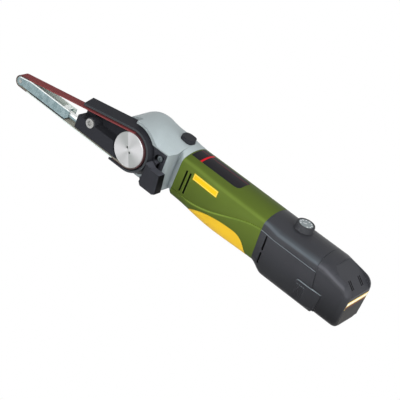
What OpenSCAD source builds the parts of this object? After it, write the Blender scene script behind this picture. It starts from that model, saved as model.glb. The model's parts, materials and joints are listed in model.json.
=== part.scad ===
// Cordless power file: an endless abrasive belt runs round a drive wheel and a
// small roller in the tip of a sprung blade. The belt carrier swivels on the gear
// head. Origin: centre of the drive wheel's outer face. +X runs along the handle
// to the battery, -Y is the side that the wheel faces, +Z is up.

/* [Belt] */
// Inside length of the belt loop
belt_length = 330; // [320:1:345]
// Width of the belt
belt_w = 10; // [8:0.5:11]
// Thickness of the belt
belt_t = 0.9; // [0.7:0.1:1.1]
// Radius of the drive wheel
wheel_r = 16; // [15:0.5:16.5]
// Radius of the tip roller
roller_r = 4.5; // [4.2:0.1:4.8]

/* [Blade] */
// Height of the blade's side plates
blade_h = 9.6; // [9:0.1:10]
// Thickness of the blade's sheet
blade_t = 1; // [0.8:0.1:1.2]
// Gap between the blade's rear end and the belt carrier
blade_gap = 10; // [9:0.5:12]
// Radius of the tension rod
rod_r = 3.1; // [2.8:0.1:3.2]
// Travel of the blade against its spring
blade_travel = 7; // [5:0.5:7]

/* [Belt carrier] */
// Length of the carrier from the wheel's axis to its front end
carrier_len = 60.5; // [58:0.5:63]
// Thickness of the back plate
carrier_t = 2; // [1.6:0.1:2.4]
// Thickness of the belt cover
cover_t = 2; // [1.6:0.1:2.4]
// Height of the rod housing
rod_house_h = 12.8; // [12:0.1:13.5]

/* [Guard] */
// Reach of the guard beyond the wheel's axis
guard_reach = 35.2; // [34.6:0.1:35.6]
// Height of the guard's ear above the wheel's axis
ear_top = 15.8; // [15:0.2:17]
// Depth of the guard's fin below the wheel's axis
fin_drop = 23.4; // [22:0.2:24]

/* [Gear head] */
// Radius of the round gear case
head_r = 26.8; // [26.2:0.1:27.2]
// Thickness of the bearing plate
plate_t = 4.5; // [4:0.1:5]
// Distance from the wheel's face to the tool's middle plane
mid_y = 30.6; // [30:0.1:31.5]
// Depth of the gear case behind the middle plane
head_back = 17.6; // [17:0.1:18.5]
// Length of the head from the spindle axis to the body shells
head_len = 46; // [45:0.5:48]

/* [Body] */
// Length of the green body shells
body_len = 93.5; // [90:0.5:97]
// Half width of the body at its rear
body_half_w = 20.3; // [19.8:0.1:20.8]
// Half width of the body at its front
front_half_w = 18.9; // [18.5:0.1:19.3]
// Height of the body's crest at its rear end, over the handle axis
crest_z = 22.8; // [22.3:0.1:23.3]
// Height of the body's crest at its front end
front_crest_z = 23.3; // [22.8:0.1:23.8]
// Depth of the body's belly under the handle axis
belly_z = 21.9; // [21.4:0.1:22.4]
// Depth of the body's front end under the handle axis
front_z = 19.3; // [19:0.1:19.7]
// Wall of the shells
wall = 2.2; // [2:0.1:2.4]

/* [Rear housing] */
// Length of the rear housing
rear_len = 60; // [58:0.5:62]
// Half width of the rear housing
rear_half_w = 22; // [21.5:0.1:22.5]
// Depth of the rear housing under the handle axis
rear_z = 26; // [25.5:0.1:26.5]

/* [Battery] */
// Length of the battery's visible cap
cap_len = 31.5; // [30:0.5:34]
// Depth of the cap under the handle axis
cap_z = 24.3; // [24:0.1:24.6]
// Radius of a cell
cell_r = 9.15; // [9:0.05:9.2]
// Length of a cell
cell_len = 65; // [64:0.5:65]

/* [Drive] */
// Teeth of the pinion
pinion_teeth = 10; // [10:1:10]
// Teeth of the crown gear
gear_teeth = 30; // [30:1:30]
// Module of the teeth
tooth_module = 0.8; // [0.8:0.01:0.82]
// Radius of the motor can
motor_r = 14; // [13.5:0.1:14]
// Length of the motor can
motor_len = 42; // [40:0.5:44]

/* [Controls] */
// Radius of the speed dial
dial_r = 7.8; // [7.5:0.1:8.2]
// Height of the speed dial
dial_h = 5.2; // [4.8:0.1:5.6]
// Travel of the on/off slider
switch_travel = 6; // [5:0.5:6.5]
// Travel of the spindle lock
lock_travel = 3; // [2.5:0.1:3.2]
// Travel of a battery latch
latch_travel = 1.2; // [1:0.1:1.3]

/* [Hidden] */
$fn = 48;
// Facets of a round shape inside a hull
hull_fn = 32;

// Clearances
// Overrun of every cut
eps = 0.5;
// Gap of a fixed fit inside one body
fit = 0.06;
// Radial gap of a running fit
run_fit = 0.05;
// Gap between pieces that move past each other
play = 0.4;
// Size of a cutting block
far = 400;

// Belt path
// Half the straight run, with the wrap corrected for the taper of the loop
first_run = (belt_length - PI * (wheel_r + roller_r)) / 2;
taper_wrap = 2 * asin((wheel_r - roller_r) / first_run) * PI / 180 * (wheel_r - roller_r);
belt_run = first_run - taper_wrap / 2;
tip_x = -belt_run;
tip_z = -(wheel_r - roller_r);
// Fall of the upper belt run towards the tip
run_fall = 2 * atan((wheel_r - roller_r) / belt_run);
// Radial gap between the belt and what it runs on
belt_gap = 0.15;
// Set-back of the belt from the wheel's face
belt_set = 0.4;
belt_back = belt_set + belt_w;

// Drive wheel
wheel_w = belt_back + belt_set / 2;
// Recess in the wheel's back, depth of its floor and radius
wheel_floor = 4.2;
wheel_cup_r = 12.6;
wheel_hub_r = 5.2;
wheel_hub_end = 7;
// Dishing of the wheel's face and its rim
wheel_chamfer = 0.5;
// Pin-spanner holes
spanner_pcd = 5;
spanner_r = 1;
spanner_depth = 1.7;
spanner_turn = 40;

// Spindle and its bearings
spindle_r = 3;
spindle_front = 2.2;
bearing_r = 6.5;
bearing_w = 5;
rear_bearing_r = 8;

// Bearing plate and its nose
plate_y = wheel_w + play + carrier_t + play / 2;
head_y = plate_y + plate_t;
nose_r = 9.5;
nose_y = wheel_floor + play + spindle_r;
nose_bore_r = 5;
ring_r = 11.6;
ring_t = 1;
ring_y = wheel_w + play - ring_t - run_fit;
carrier_y = wheel_w + play;
disc_r = 23.6;
plate_screw_r = 1.5;
plate_screw_head_r = 2.7;
plate_screw_head_h = 2;
plate_screw_len = 10;
plate_screw_pcd_r = 20.4;
plate_screw_angles = [70, 160, 250];

// Gear case
gear_room_r = 17.5;
gear_room_back = 9.6;
case_round = 8.5;
// Shoulder of the case round the guard: a rim in front, a slanted side and a crowned top
frame_y = 4.4;
plate_top = 17;
plate_low = 17.5;
plate_reach = 36.4;
plate_lean = 3.1;
flange_y = 10;
flange_back = 40.3;
rim_end = 4.5;
blend = 4;
blend_len = 15;
case_steps = 38;
top_steps = 14;
depth_steps = 6;
back_steps = 5;
neck_top = 26.7;
crest_bend = 4;
head_flat = 24.2;
neck_bottom = 18;
neck_half_w = 15.2;
neck_sink = 0.15;
neck_waist_share = 0.86;
neck_shares = [0.3, 0.5, 0.7, 0.8, 0.86, 0.9, 0.93, 0.96, 0.98, 1];
neck_bore_r = 8;
spigot_r = 15.2;
spigot_wall = 1.6;
spigot_len = 4;

// Crown gear and pinion
pinion_r = tooth_module * pinion_teeth / 2;
gear_r = tooth_module * gear_teeth / 2;
tooth_addendum = 0.85 * tooth_module;
tooth_dedendum = 1.1 * tooth_module;
tooth_root_w = 1.85 * tooth_module;
tooth_tip_w = 0.6 * tooth_module;
gear_tooth_in = gear_r - tooth_module;
gear_tooth_out = gear_r + 3.6 * tooth_module;
gear_disc_t = 3.4;
gear_hub_r = 6;
pinion_x = gear_r - 0.8 * tooth_module;
pinion_len = 4;

// Motor
shaft_r = 2;
gear_room_wall = 1;
shaft_bearing_x = gear_room_r + gear_room_wall;
shaft_bearing_w = 5;
shaft_bearing_r = 6.5;
collar_r = 6;
collar_len = 9;
lock_share = 0.44;
lock_x = mix(shaft_bearing_x + shaft_bearing_w, head_len, lock_share);
lock_pin_r = 2;
lock_hole_gap = 0.3;
fan_gap = 1.2;
fan_x = head_len + spigot_len + fan_gap;
fan_len = 7;
fan_r = 12.8;
fan_hub_r = 5;
fan_blades = 9;
fan_blade_t = 1.2;
motor_gap = 2;
motor_x = fan_x + fan_len + motor_gap;
motor_wall = 1.4;
rotor_r = 10.5;
rotor_set = 5;
rotor_slots = 5;
rotor_slot_w = 1.6;
rotor_slot_depth = 5;
rear_boss_r = 5;
rear_boss_len = 3;
rib_t = 3;
rib_set = 3;

// Spindle lock
button_l = 12.4;
button_w = 11.6;
button_bend = 0.7;
button_steps = 32;
button_gap = 0.35;
button_h = 5.4;
button_z = 28.9;
button_low = button_z - button_h;
button_seat = button_low - lock_travel - play;
spring_wire = 0.7;
spring_sides = 6;
spring_rings = 8;
lock_spring_r = 3.1;
lock_spring_turns = 5;

// Belt carrier
house_y = 0.2;
house_lift = 1.1;
house_bottom = -(wheel_r - house_lift);
cover_y = 1.2;
cover_gap = 1.5;
cover_flare = 3;
cover_len = 57;
low_cover_len = 16.5;
wheel_room_r = wheel_r + belt_t + play;
rod_drop = 0.3;
blade_low = 3.3;
rod_z_pos = tip_z + blade_h / 2 - blade_low - rod_drop;
rod_y = belt_set + belt_w / 2;
rod_end = 46;
tension_turns = 7;
spring_len = 16;
screw_x = -45.6;
screw_z = -1.9;
screw_head_r = 4.3;
screw_head_h = 4;
screw_shank_r = 2;
screw_boss_r = 5.4;
screw_key_r = 2.7;
screw_key_depth = 2.2;
screw_proud = 1.2;

// Blade
blade_y = house_y;
blade_w = belt_w + 2 * belt_set - 2 * house_y;
blade_end = carrier_len + blade_gap;
pad_gap = 0.2;
pad_t = roller_r - blade_low - pad_gap;
pin_r = 1.5;
pin_head_r = 1.7;
pin_head_h = 0.5;
blade_cut = 3;
roller_side = 0.5;

// Guard
ear_y = 4.6;
fin_y = 2.6;
guard_base_t = 4;
guard_gap = 1.2;
guard_inner_r = wheel_r + belt_t + cover_gap + cover_t + cover_flare + guard_gap;
fin_left = 20;
fin_top = 5;
fin_lip = 4;
fin_lip_len = 7;
fin_rise = 1.4;
fin_steps = 12;
fin_corner = 3;
fin_tab_r = 1.5;
fin_tab_z = -16.5;
ear_wall = 2;
clamp_x = 28.4;
clamp_z = 7.8;
clamp_pocket_r = 4.4;
clamp_head_r = 2.6;
clamp_head_h = 2.6;
clamp_shank_r = 1.9;
clamp_len = 13;

// Handle sections
crown_r = 36;
ridge_r = 6;
corner_r = 8;
crown_steps = 5;
ridge_steps = 4;
corner_steps = 5;
body_x = head_len;
body_end = body_x + body_len;
body_tilt = 4.7;
belly_share = 0.52;
body_stations = 9;
flare_len = 15;
flare_steps = 7;
rear_end = body_end + rear_len;
rear_tilt = 13.5;
// The lower shells stand a little proud of the upper ones
lower_inset = -0.5;
shell_set = 0.6;
shell_inset = wall + shell_set;
// Seam between the upper and the lower shells
seam_front_z = -10.8;
seam_front_share = 0.15;
seam_back_z = 11;
seam_bend = 1.15;
seam_steps = 16;
rear_seam_z = 10.4;
// Vent slits
vent_w = 1.7;
vent_top = 12;
vent_bottom = 8.7;
vent_x_set = 8.4;
vent_pitch = 4.3;
rear_vent_w = 1.6;
rear_vent_x = 7.4;
rear_vent_spans = [[-4, 9.2], [-16.5, -6.4]];
// Soft grip
grip_t = 1.4;
grip_proud = 0.15;
grip_gap = 0.15;
grip_mid_x = 116;
grip_front_a = 52;
grip_rear_a = 18.5;
grip_base_z = -26;
grip_h = 19;
grip_steps = 12;
// Housing screws
boss_r = 3.6;
house_screw_r = 1.5;
house_screw_head_r = 2.7;
house_screw_head_h = 2;
house_screw_up = 15;
body_screw_set = 8;
body_screw_x = motor_x + motor_len + body_screw_set;
body_screw_y = 12.6;
rear_screw_set = 7.2;
rear_screw_y = 14.2;

// Electronics
board_t = 1.6;
board_z = -8;
board_half_w = 8.4;
board_front_set = 1;
board_back_set = 4.3;
board_front = body_screw_x - board_front_set;
board_len = body_end - board_back_set - board_front;
switch_len = 15;
switch_depth = 6;
switch_h = 9;
switch_set = 8.4;
switch_mid_x = body_screw_x + boss_r + switch_set;
switch_mid_z = -1.5;
slider_len = 14;
slider_h = 8;
slider_t = 2.4;
slider_neck_l = 5;
slider_neck_h = 4;
slider_ribs = 5;
slider_rib = 0.6;
contact_len = 4.4;
contact_half_w = 9;
contact_h = 12;

// Speed dial
dial_set = 23.9;
dial_x = body_end + dial_set;
dial_neck_r = 3;
dial_recess = 0.8;
dial_plate_r = 6.3;
dial_plate_t = 0.6;
dial_ribs = 24;
dial_rib_r = 0.45;
pot_r = 8;
pot_h = 4;
pot_drop = 1.1;

// Battery
insert_set = 14.5;
insert_front = body_end + insert_set;
insert_gap = 0.5;
insert_top = 13.3;
cell_wall = 0.8;
cell_low_z = -(rear_z - shell_inset - insert_gap - cell_wall - cell_r);
cell_pitch_half = cell_r + fit / 2;
cell_high_z = cell_low_z + cell_pitch_half * sqrt(3);
cell_x = insert_front + 2;
cap_gap = 0.3;
cap_end = rear_end + cap_len;
cap_inset = 0.3;
cap_half_w = rear_half_w - cap_inset;
cap_round = 4.5;
cap_top_round = 9;
cap_low_round = 2;
shoulder_set = 6;
shoulder_x = rear_end + shoulder_set;
scoop_half_w = 15.5;
scoop_depth = 2.6;
scoop_tilts = [22, 37];
scoop_break = 15;
scoop_corner = 6;
groove_w = 1.1;
groove_depth = 0.9;
groove_len = 9.5;
groove_pitch = 2.3;
groove_set = 7.6;
cap_slope_start = 2;
cap_rear_drop = 5.3;

// Battery latches
latch_set = 14.5;
latch_x = rear_end - latch_set;
latch_len = 25;
latch_top = -4.6;
latch_low = -21;
latch_gap = 0.25;
latch_t = 2.2;
latch_proud = 1.3;
latch_corner = 3;
latch_ribs = 4;
latch_rib_r = 0.5;
latch_rib_pitch = 2.2;
latch_rib_set = 3;

function smooth(t) = let (c = min(max(t, 0), 1)) c * c * (3 - 2 * c);
function mix(a, b, t) = a + (b - a) * t;

// One half of a handle section: crowned top, soft ridge, flat side, round lower corner
function half_section(w, top, low, inset) =
    let (
        hw = w - inset,
        r = crown_r - inset,
        rr = max(ridge_r - inset, ridge_r / 4),
        rc = max(corner_r - inset, corner_r / 4),
        crest = top - inset,
        base = -low + inset,
        mid = crest - r,
        meet = asin((hw - rr) / (r - rr)),
        ridge = mid + (r - rr) * cos(meet)
    )
    concat(
        [for (i = [0:crown_steps - 1]) let (a = meet * i / crown_steps) [r * sin(a), mid + r * cos(a)]],
        [for (i = [0:ridge_steps]) let (a = mix(meet, 90, i / ridge_steps))
            [hw - rr + rr * sin(a), ridge + rr * cos(a)]],
        [for (i = [0:corner_steps]) let (a = 90 + 90 * i / corner_steps)
            [hw - rc + rc * sin(a), base + rc + rc * cos(a)]]
    );

// Closed ring of points at x
function section_ring(x, w, top, low, inset) =
    let (half = half_section(w, top, low, inset), n = len(half))
    concat(
        [for (p = half) [x, mid_y + p[0], p[1]]],
        [for (i = [n - 1:-1:1]) [x, mid_y - half[i][0], half[i][1]]]
    );

// Solid skinned over rings of equal length
module loft(rings) {
    n = len(rings[0]);
    last = len(rings) - 1;
    sides = [for (j = [0:last - 1]) for (i = [0:n - 1]) let (k = (i + 1) % n)
        each [[j * n + i, j * n + k, (j + 1) * n + k], [j * n + i, (j + 1) * n + k, (j + 1) * n + i]]];
    caps = [[for (i = [n - 1:-1:0]) i], [for (i = [0:n - 1]) last * n + i]];
    polyhedron(points = [for (r = rings) each r], faces = concat(sides, caps), convexity = 6);
}

module along_y(y0, y1) {
    translate([0, y1, 0]) rotate([90, 0, 0]) linear_extrude(y1 - y0) children();
}
module rod_along_y(r, y0, y1) {
    translate([0, y0, 0]) rotate([-90, 0, 0]) cylinder(r = r, h = y1 - y0);
}
module rod_along_x(r, x0, x1) {
    translate([x0, 0, 0]) rotate([0, 90, 0]) cylinder(r = r, h = x1 - x0);
}
module rod_along_z(r, z0, z1) {
    translate([0, 0, z0]) cylinder(r = r, h = z1 - z0);
}
module block(low, high) {
    translate(low) cube(high - low);
}
// Everything behind a plane through x on the handle axis, leaning forward at the top
module behind(x, tilt) {
    translate([x, 0, 0]) rotate([0, -tilt, 0]) translate([0, -far / 2, -far / 2]) cube(far);
}

// One unbroken helix tube along +Z, with the wire's ends running level
module helix(r, length, turns) {
    steps = turns * spring_rings;
    pitch = (length - spring_wire) / turns;
    rings = [for (i = [0:steps]) let (a = 360 * i / spring_rings, z = spring_wire / 2 + pitch * i / spring_rings)
        [for (k = [0:spring_sides - 1]) let (b = -360 * k / spring_sides, rr = r + spring_wire / 2 * cos(b))
            [rr * cos(a), rr * sin(a), z + spring_wire / 2 * sin(b)]]];
    echo(spring_gap = pitch - spring_wire);
    loft(rings);
}

// Drive wheel, screwed on the spindle
module drive_wheel() {
    color("lightgray") difference() {
        rotate([-90, 0, 0]) rotate_extrude() polygon([
            [0, 0], [wheel_r - wheel_chamfer, 0], [wheel_r, wheel_chamfer], [wheel_r, wheel_w],
            [wheel_cup_r, wheel_w], [wheel_cup_r, wheel_floor], [wheel_hub_r, wheel_floor],
            [wheel_hub_r, wheel_hub_end], [0, wheel_hub_end],
        ]);
        rod_along_y(spindle_r + fit / 2, spindle_front, wheel_w);
        for (side = [-1, 1]) rotate([0, spanner_turn, 0]) translate([side * spanner_pcd / 2, 0, 0])
            rod_along_y(spanner_r, -eps, spanner_depth);
    }
}

module spindle() {
    color("silver") rod_along_y(spindle_r, spindle_front + fit, mid_y + gear_room_back + bearing_w);
}

// Crown gear: radial teeth on the face towards the pinion
module crown_gear() {
    tip_y = mid_y + pinion_r - tooth_addendum;
    root_y = mid_y + pinion_r + tooth_dedendum;
    color("dimgray") difference() {
        union() {
            rod_along_y(gear_tooth_out, root_y, root_y + gear_disc_t);
            for (i = [0:gear_teeth - 1]) rotate([0, (i + 0.5) * 360 / gear_teeth, 0])
                translate([gear_tooth_in, root_y, 0]) rotate([90, 0, 90])
                    linear_extrude(gear_tooth_out - gear_tooth_in) crown_tooth(root_y - tip_y);
            rod_along_y(gear_hub_r, root_y, mid_y + gear_room_back - fit);
        }
        rod_along_y(spindle_r + fit / 2, mid_y - far / 2, mid_y + far / 2);
    }
}
// Tooth section: across, and down towards the disc
module crown_tooth(h) {
    polygon([
        [fit, -tooth_root_w / 2], [fit, tooth_root_w / 2], [-h, tooth_tip_w / 2], [-h, -tooth_tip_w / 2],
    ]);
}

module bearing(r, bore, w) {
    mid_r = (r + bore) / 2;
    groove = (r - bore) / 6;
    difference() {
        cylinder(r = r, h = w);
        translate([0, 0, -eps]) cylinder(r = bore, h = w + 2 * eps);
        for (z = [-eps, w - groove]) translate([0, 0, z]) difference() {
            cylinder(r = mid_r + groove, h = groove + eps);
            translate([0, 0, -eps]) cylinder(r = mid_r - groove, h = groove + 3 * eps);
        }
    }
}
module front_bearing() {
    color("gainsboro") translate([0, head_y - bearing_w, 0]) rotate([-90, 0, 0])
        bearing(bearing_r, spindle_r + run_fit, bearing_w);
}
module rear_bearing() {
    color("gainsboro") translate([0, mid_y + gear_room_back, 0]) rotate([-90, 0, 0])
        bearing(rear_bearing_r, spindle_r + run_fit, bearing_w);
}
module shaft_bearing() {
    color("gainsboro") translate([shaft_bearing_x, mid_y, 0]) rotate([0, 90, 0])
        bearing(shaft_bearing_r, shaft_r + run_fit, shaft_bearing_w);
}

// Round plate in the mouth of the gear case, with the nose that the carrier swivels on
module bearing_plate() {
    color("gainsboro") difference() {
        union() {
            rod_along_y(disc_r, plate_y, head_y);
            rod_along_y(nose_r, nose_y, plate_y + eps);
        }
        rod_along_y(nose_bore_r, nose_y - eps, head_y);
        rod_along_y(bearing_r + fit, head_y - bearing_w - fit, head_y + eps);
        for (a = plate_screw_angles) plate_screw_place(a) {
            rod_along_y(plate_screw_r + fit, -eps, plate_t + eps);
            rod_along_y(plate_screw_head_r + fit, -eps, plate_screw_head_h + fit);
        }
    }
}
module plate_screw_place(a) {
    translate([plate_screw_pcd_r * cos(a), plate_y, plate_screw_pcd_r * sin(a)]) children();
}
module plate_screws() {
    color("silver") for (a = plate_screw_angles) plate_screw_place(a) difference() {
        union() {
            rod_along_y(plate_screw_head_r, fit, plate_screw_head_h);
            rod_along_y(plate_screw_r, fit, plate_screw_len);
        }
        rod_along_y(plate_screw_r, 0, plate_screw_head_h / 2);
    }
}

// Side views of the gear case at a depth y: a circle, the shoulder beside it and a soft valley between them
function case_inset(y) = let (e = max(y - (mid_y + head_back - case_round), 0))
    case_round - sqrt(max(case_round * case_round - e * e, 0));
function neck_crest(x) = mix(neck_top, front_crest_z, pow(x / head_len, crest_bend));
function shoulder_top(x, y) = y < mid_y
    ? let (t = (mid_y - y) / (mid_y - frame_y)) mix(neck_crest(x), plate_top, t * t)
    : neck_crest(x) - (y - mid_y) * (y - mid_y) / (2 * crown_r);
function soft_max(a, b, k) = let (h = max(k - abs(a - b), 0)) max(a, b) + h * h / (4 * k);
function case_end(y) = mix(plate_reach, flange_back, min((y - frame_y) / (flange_y - frame_y), 1));
function case_ring(y) =
    let (
        d = case_inset(y),
        r = head_r - d,
        low = plate_low - d,
        foot = asin(low / r),
        end = case_end(y) - d,
        lean = plate_lean * (flange_back - case_end(y)) / (flange_back - plate_reach)
    )
    concat(
        [for (i = [0:case_steps]) let (a = mix(90, 360 - foot, i / case_steps)) [r * cos(a), y, r * sin(a)]],
        [[end + lean, y, -low]],
        [for (i = [top_steps:-1:1]) let (x = end * i / top_steps, c = sqrt(max(r * r - x * x, 0)))
            [x, y, soft_max(c, shoulder_top(x, y) - d, blend * smooth(x / blend_len) + eps)]]
    );
module case_form() {
    back = mid_y + head_back;
    depths = concat(
        [frame_y - play],
        [for (i = [0:depth_steps]) mix(flange_y, mid_y, i / depth_steps)],
        [for (i = [0:back_steps]) back - case_round + case_round * sin(90 * i / back_steps)],
        [back + play]
    );
    difference() {
        loft([for (y = depths) case_ring(y)]);
        along_y(-far, frame_y) square(2 * far, center = true);
        along_y(back, far) square(2 * far, center = true);
    }
}
// Space for the belt carrier and the guard in front of the case
module front_space() {
    along_y(-far, plate_y) {
        circle(guard_inner_r - guard_gap / 2);
        translate([-far - rim_end, -far]) square([far, 2 * far]);
        translate([-far, -far]) square([far + guard_reach + fit, far + ear_top + fit]);
        guard_outline(fit);
    }
}

// Die-cast gear head: round case with a rounded back, a shoulder, and a neck to the body
module gear_head() {
    color("silver") difference() {
        union() {
            difference() {
                case_form();
                front_space();
            }
            loft([
                for (share = neck_shares) let (f = smooth((share - neck_waist_share) / (1 - neck_waist_share)))
                    section_ring(head_len * share, mix(neck_half_w, front_half_w, f),
                        neck_crest(head_len * share) - neck_sink * (1 - f), mix(neck_bottom, front_z, f), 0),
            ]);
            translate([0, mid_y, 0]) rod_along_x(spigot_r, head_len - eps, head_len + spigot_len);
        }
        rod_along_y(disc_r + fit, plate_y - eps, head_y);
        block([-far, -far, -far], [far, far, -head_flat]);
        rod_along_y(gear_room_r, head_y - eps, mid_y + gear_room_back);
        rod_along_y(rear_bearing_r + fit, mid_y, mid_y + gear_room_back + bearing_w + fit);
        translate([0, mid_y, 0]) {
            rod_along_x(shaft_bearing_r + fit, 0, shaft_bearing_x + shaft_bearing_w);
            rod_along_x(neck_bore_r, shaft_bearing_x + shaft_bearing_w - fit, head_len + spigot_len + eps);
            rod_along_x(spigot_r - spigot_wall, head_len, head_len + spigot_len + eps);
        }
        translate([lock_x, mid_y, 0]) {
            rod_along_z(lock_pin_r + run_fit, 0, far);
            rod_along_z(lock_spring_r + spring_wire, button_seat - lock_spring_len(), far);
            translate([0, 0, button_seat]) linear_extrude(far) button_outline(button_gap);
        }
        for (a = plate_screw_angles) plate_screw_place(a) rod_along_y(plate_screw_r + fit, 0, plate_screw_len + eps);
        translate([clamp_x, 0, clamp_z]) rod_along_y(clamp_shank_r + fit, 0, head_y + plate_t);
    }
}
function lock_spring_len() = button_seat - neck_bore_r - spring_wire;

// Spindle lock: a pressed button drives a pin into the collar of the motor shaft
module lock_button() {
    low = button_low;
    color("black") translate([lock_x, mid_y, 0]) difference() {
        union() {
            translate([0, 0, low]) linear_extrude(button_h) button_outline(0);
            rod_along_z(lock_spring_r + spring_wire - play / 2, button_seat + 2 * fit, low + eps);
        }
        rod_along_z(lock_pin_r + fit / 2, 0, low);
    }
}
// Button seen from above: between an oval and a rectangle
module button_outline(gap) {
    polygon([for (i = [0:button_steps - 1]) let (a = 360 * i / button_steps, c = cos(a), s = sin(a)) [
        (button_l / 2 + gap) * sign(c) * pow(abs(c), button_bend),
        (button_w / 2 + gap) * sign(s) * pow(abs(s), button_bend),
    ]]);
}
module lock_pin() {
    color("silver") translate([lock_x, mid_y, 0])
        rod_along_z(lock_pin_r, collar_r + play, button_low - fit);
}
module lock_spring() {
    color("gray") translate([lock_x, mid_y, button_seat - lock_spring_len() + fit])
        helix(lock_spring_r - spring_wire / 2 + play / 4, lock_spring_len(), lock_spring_turns);
}

// Place turned to the upper belt run, with the strip's distance from the wheel's axis as z
module on_upper_run() {
    rotate([0, -run_fall, 0]) children();
}
// Outline of the belt cover at a distance from the wheel
module cover_outline(s) {
    hull() {
        circle(wheel_r + s, $fn = 2 * hull_fn);
        rotate(run_fall) translate([-cover_len, 0]) square([eps, wheel_r + s]);
    }
}
module cover_form(near, back) {
    hull() {
        along_y(cover_y, cover_y + eps) cover_outline(near);
        along_y(carrier_y + carrier_t - eps, carrier_y + carrier_t) cover_outline(back);
    }
}
// Swivelling belt carrier: back plate, belt cover, rod housing and screw boss
module belt_carrier() {
    near = belt_t + cover_gap + cover_t;
    back = near + cover_flare;
    color("dimgray") difference() {
        union() {
            difference() {
                cover_form(near, back);
                cover_form(near - cover_t, back - cover_t);
                on_upper_run() block([-far, -far, 0], [0, far, wheel_r + belt_t]);
                block([-far, -far, -far], [0, far, 0]);
            }
            translate([-low_cover_len, 0, 0]) rotate([90, 0, 90]) linear_extrude(low_cover_len) polygon([
                [cover_y, -(wheel_r + near)], [carrier_y + carrier_t, -(wheel_r + back)],
                [carrier_y + carrier_t, -(wheel_r + back - cover_t)], [cover_y, -(wheel_r + near - cover_t)],
            ]);
            along_y(carrier_y, carrier_y + carrier_t) carrier_plate(near);
            along_y(house_y, carrier_y + eps) difference() {
                polygon([
                    [-carrier_len, house_bottom], [0, house_bottom],
                    [0, house_bottom + rod_house_h], [-carrier_len, house_bottom + rod_house_h],
                ]);
                circle(wheel_room_r);
            }
            translate([screw_x, 0, screw_z]) rod_along_y(screw_boss_r, house_y, carrier_y + eps);
        }
        rod_along_y(nose_r + run_fit, 0, far);
        translate([0, rod_y, rod_z_pos]) rod_along_x(rod_r + run_fit, -far, -rod_end + spring_len);
        translate([screw_x, 0, screw_z]) {
            rod_along_y(screw_head_r + fit, -eps, house_y + screw_head_h - screw_proud);
            rod_along_y(screw_shank_r + fit, 0, far);
        }
    }
}
// Back plate: round hub joined to the arm behind both belt runs
module carrier_plate(near) {
    circle(wheel_r + near + cover_flare);
    intersection() {
        translate([-carrier_len, house_bottom]) square([carrier_len, far]);
        rotate(run_fall) translate([-far, -far]) square([far, far + wheel_r + near]);
    }
    translate([-low_cover_len, -(wheel_r + near + cover_flare)]) square([low_cover_len, wheel_r]);
}

// Ring that keeps the carrier on the nose of the bearing plate
module swivel_ring() {
    color("gray") difference() {
        rod_along_y(ring_r, ring_y, ring_y + ring_t);
        rod_along_y(nose_r + fit, 0, far);
    }
}

module socket_screw(head_r, head_h, shank_r, length, key_r, key_depth) {
    difference() {
        union() {
            rod_along_y(head_r, 0, head_h);
            rod_along_y(shank_r, 0, length);
        }
        translate([0, -eps, 0]) rotate([-90, 0, 0]) cylinder(r = key_r, h = key_depth + eps, $fn = 6);
    }
}
module tracking_screw() {
    color("silver") translate([screw_x, house_y - screw_proud, screw_z])
        socket_screw(screw_head_r, screw_head_h - fit, screw_shank_r, carrier_y + carrier_t + screw_proud - house_y,
            screw_key_r, screw_key_depth);
}
module clamp_screw() {
    color("silver") translate([clamp_x, plate_y - guard_base_t - clamp_head_h, clamp_z])
        socket_screw(clamp_head_r, clamp_head_h - fit, clamp_shank_r, clamp_len, clamp_shank_r * 3 / 4, clamp_head_h / 2);
}

// Sprung blade: rod, spring, U-channel, backing pad and tip roller
module tension_rod() {
    color("gainsboro") translate([0, rod_y, rod_z_pos]) rod_along_x(rod_r, -blade_end - blade_gap, -rod_end);
}
module tension_spring() {
    color("gray") translate([-rod_end + fit, rod_y, rod_z_pos]) rotate([0, 90, 0])
        helix(rod_r - spring_wire, spring_len - 2 * fit, tension_turns);
}
// Side view of a blade plate with its round tip
module blade_plate_outline(end_x) {
    intersection() {
        belt_outline(-play);
        polygon([
            [tip_x - roller_r, tip_z - blade_low], [-end_x - blade_cut, tip_z - blade_low],
            [-end_x, tip_z - blade_low + blade_cut], [-end_x, tip_z - blade_low + blade_h],
            [tip_x - roller_r, tip_z - blade_low + blade_h],
        ]);
    }
    translate([tip_x, tip_z]) circle(roller_r - play);
}
module blade() {
    color("lightslategray") difference() {
        union() {
            along_y(blade_y, blade_y + blade_t) blade_plate_outline(blade_end);
            along_y(blade_y + blade_w - blade_t, blade_y + blade_w) blade_plate_outline(blade_end);
            block([tip_x + 2 * roller_r, blade_y, tip_z - blade_low],
                [-blade_end - blade_cut, blade_y + blade_w, tip_z - blade_low + blade_t]);
            block([-blade_end - blade_gap, blade_y, rod_z_pos - rod_r - blade_t],
                [-blade_end - blade_gap / 3, blade_y + blade_w, rod_z_pos + rod_r + blade_t]);
        }
        on_tip() rod_along_y(pin_r + fit, -far, far);
        translate([0, rod_y, rod_z_pos]) rod_along_x(rod_r + fit, -blade_end - blade_gap - fit, 0);
    }
}
module on_tip() {
    translate([tip_x, 0, tip_z]) children();
}
module platen_pad() {
    color("black") block([tip_x + 3 * roller_r, blade_y, tip_z - blade_low - pad_t],
        [-blade_end - blade_cut, blade_y + blade_w, tip_z - blade_low]);
}
module roller_pin() {
    color("silver") on_tip() {
        rod_along_y(pin_r, blade_y - pin_head_h, blade_y + blade_w + pin_head_h);
        rod_along_y(pin_head_r, blade_y - pin_head_h, blade_y - fit);
        rod_along_y(pin_head_r, blade_y + blade_w + fit, blade_y + blade_w + pin_head_h);
    }
}
module tip_roller() {
    low = blade_y + blade_t + roller_side;
    high = blade_y + blade_w - blade_t - roller_side;
    color("gray") on_tip() difference() {
        rod_along_y(roller_r - belt_gap, low, high);
        rod_along_y(pin_r + run_fit, low - eps, high + eps);
    }
}
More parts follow.
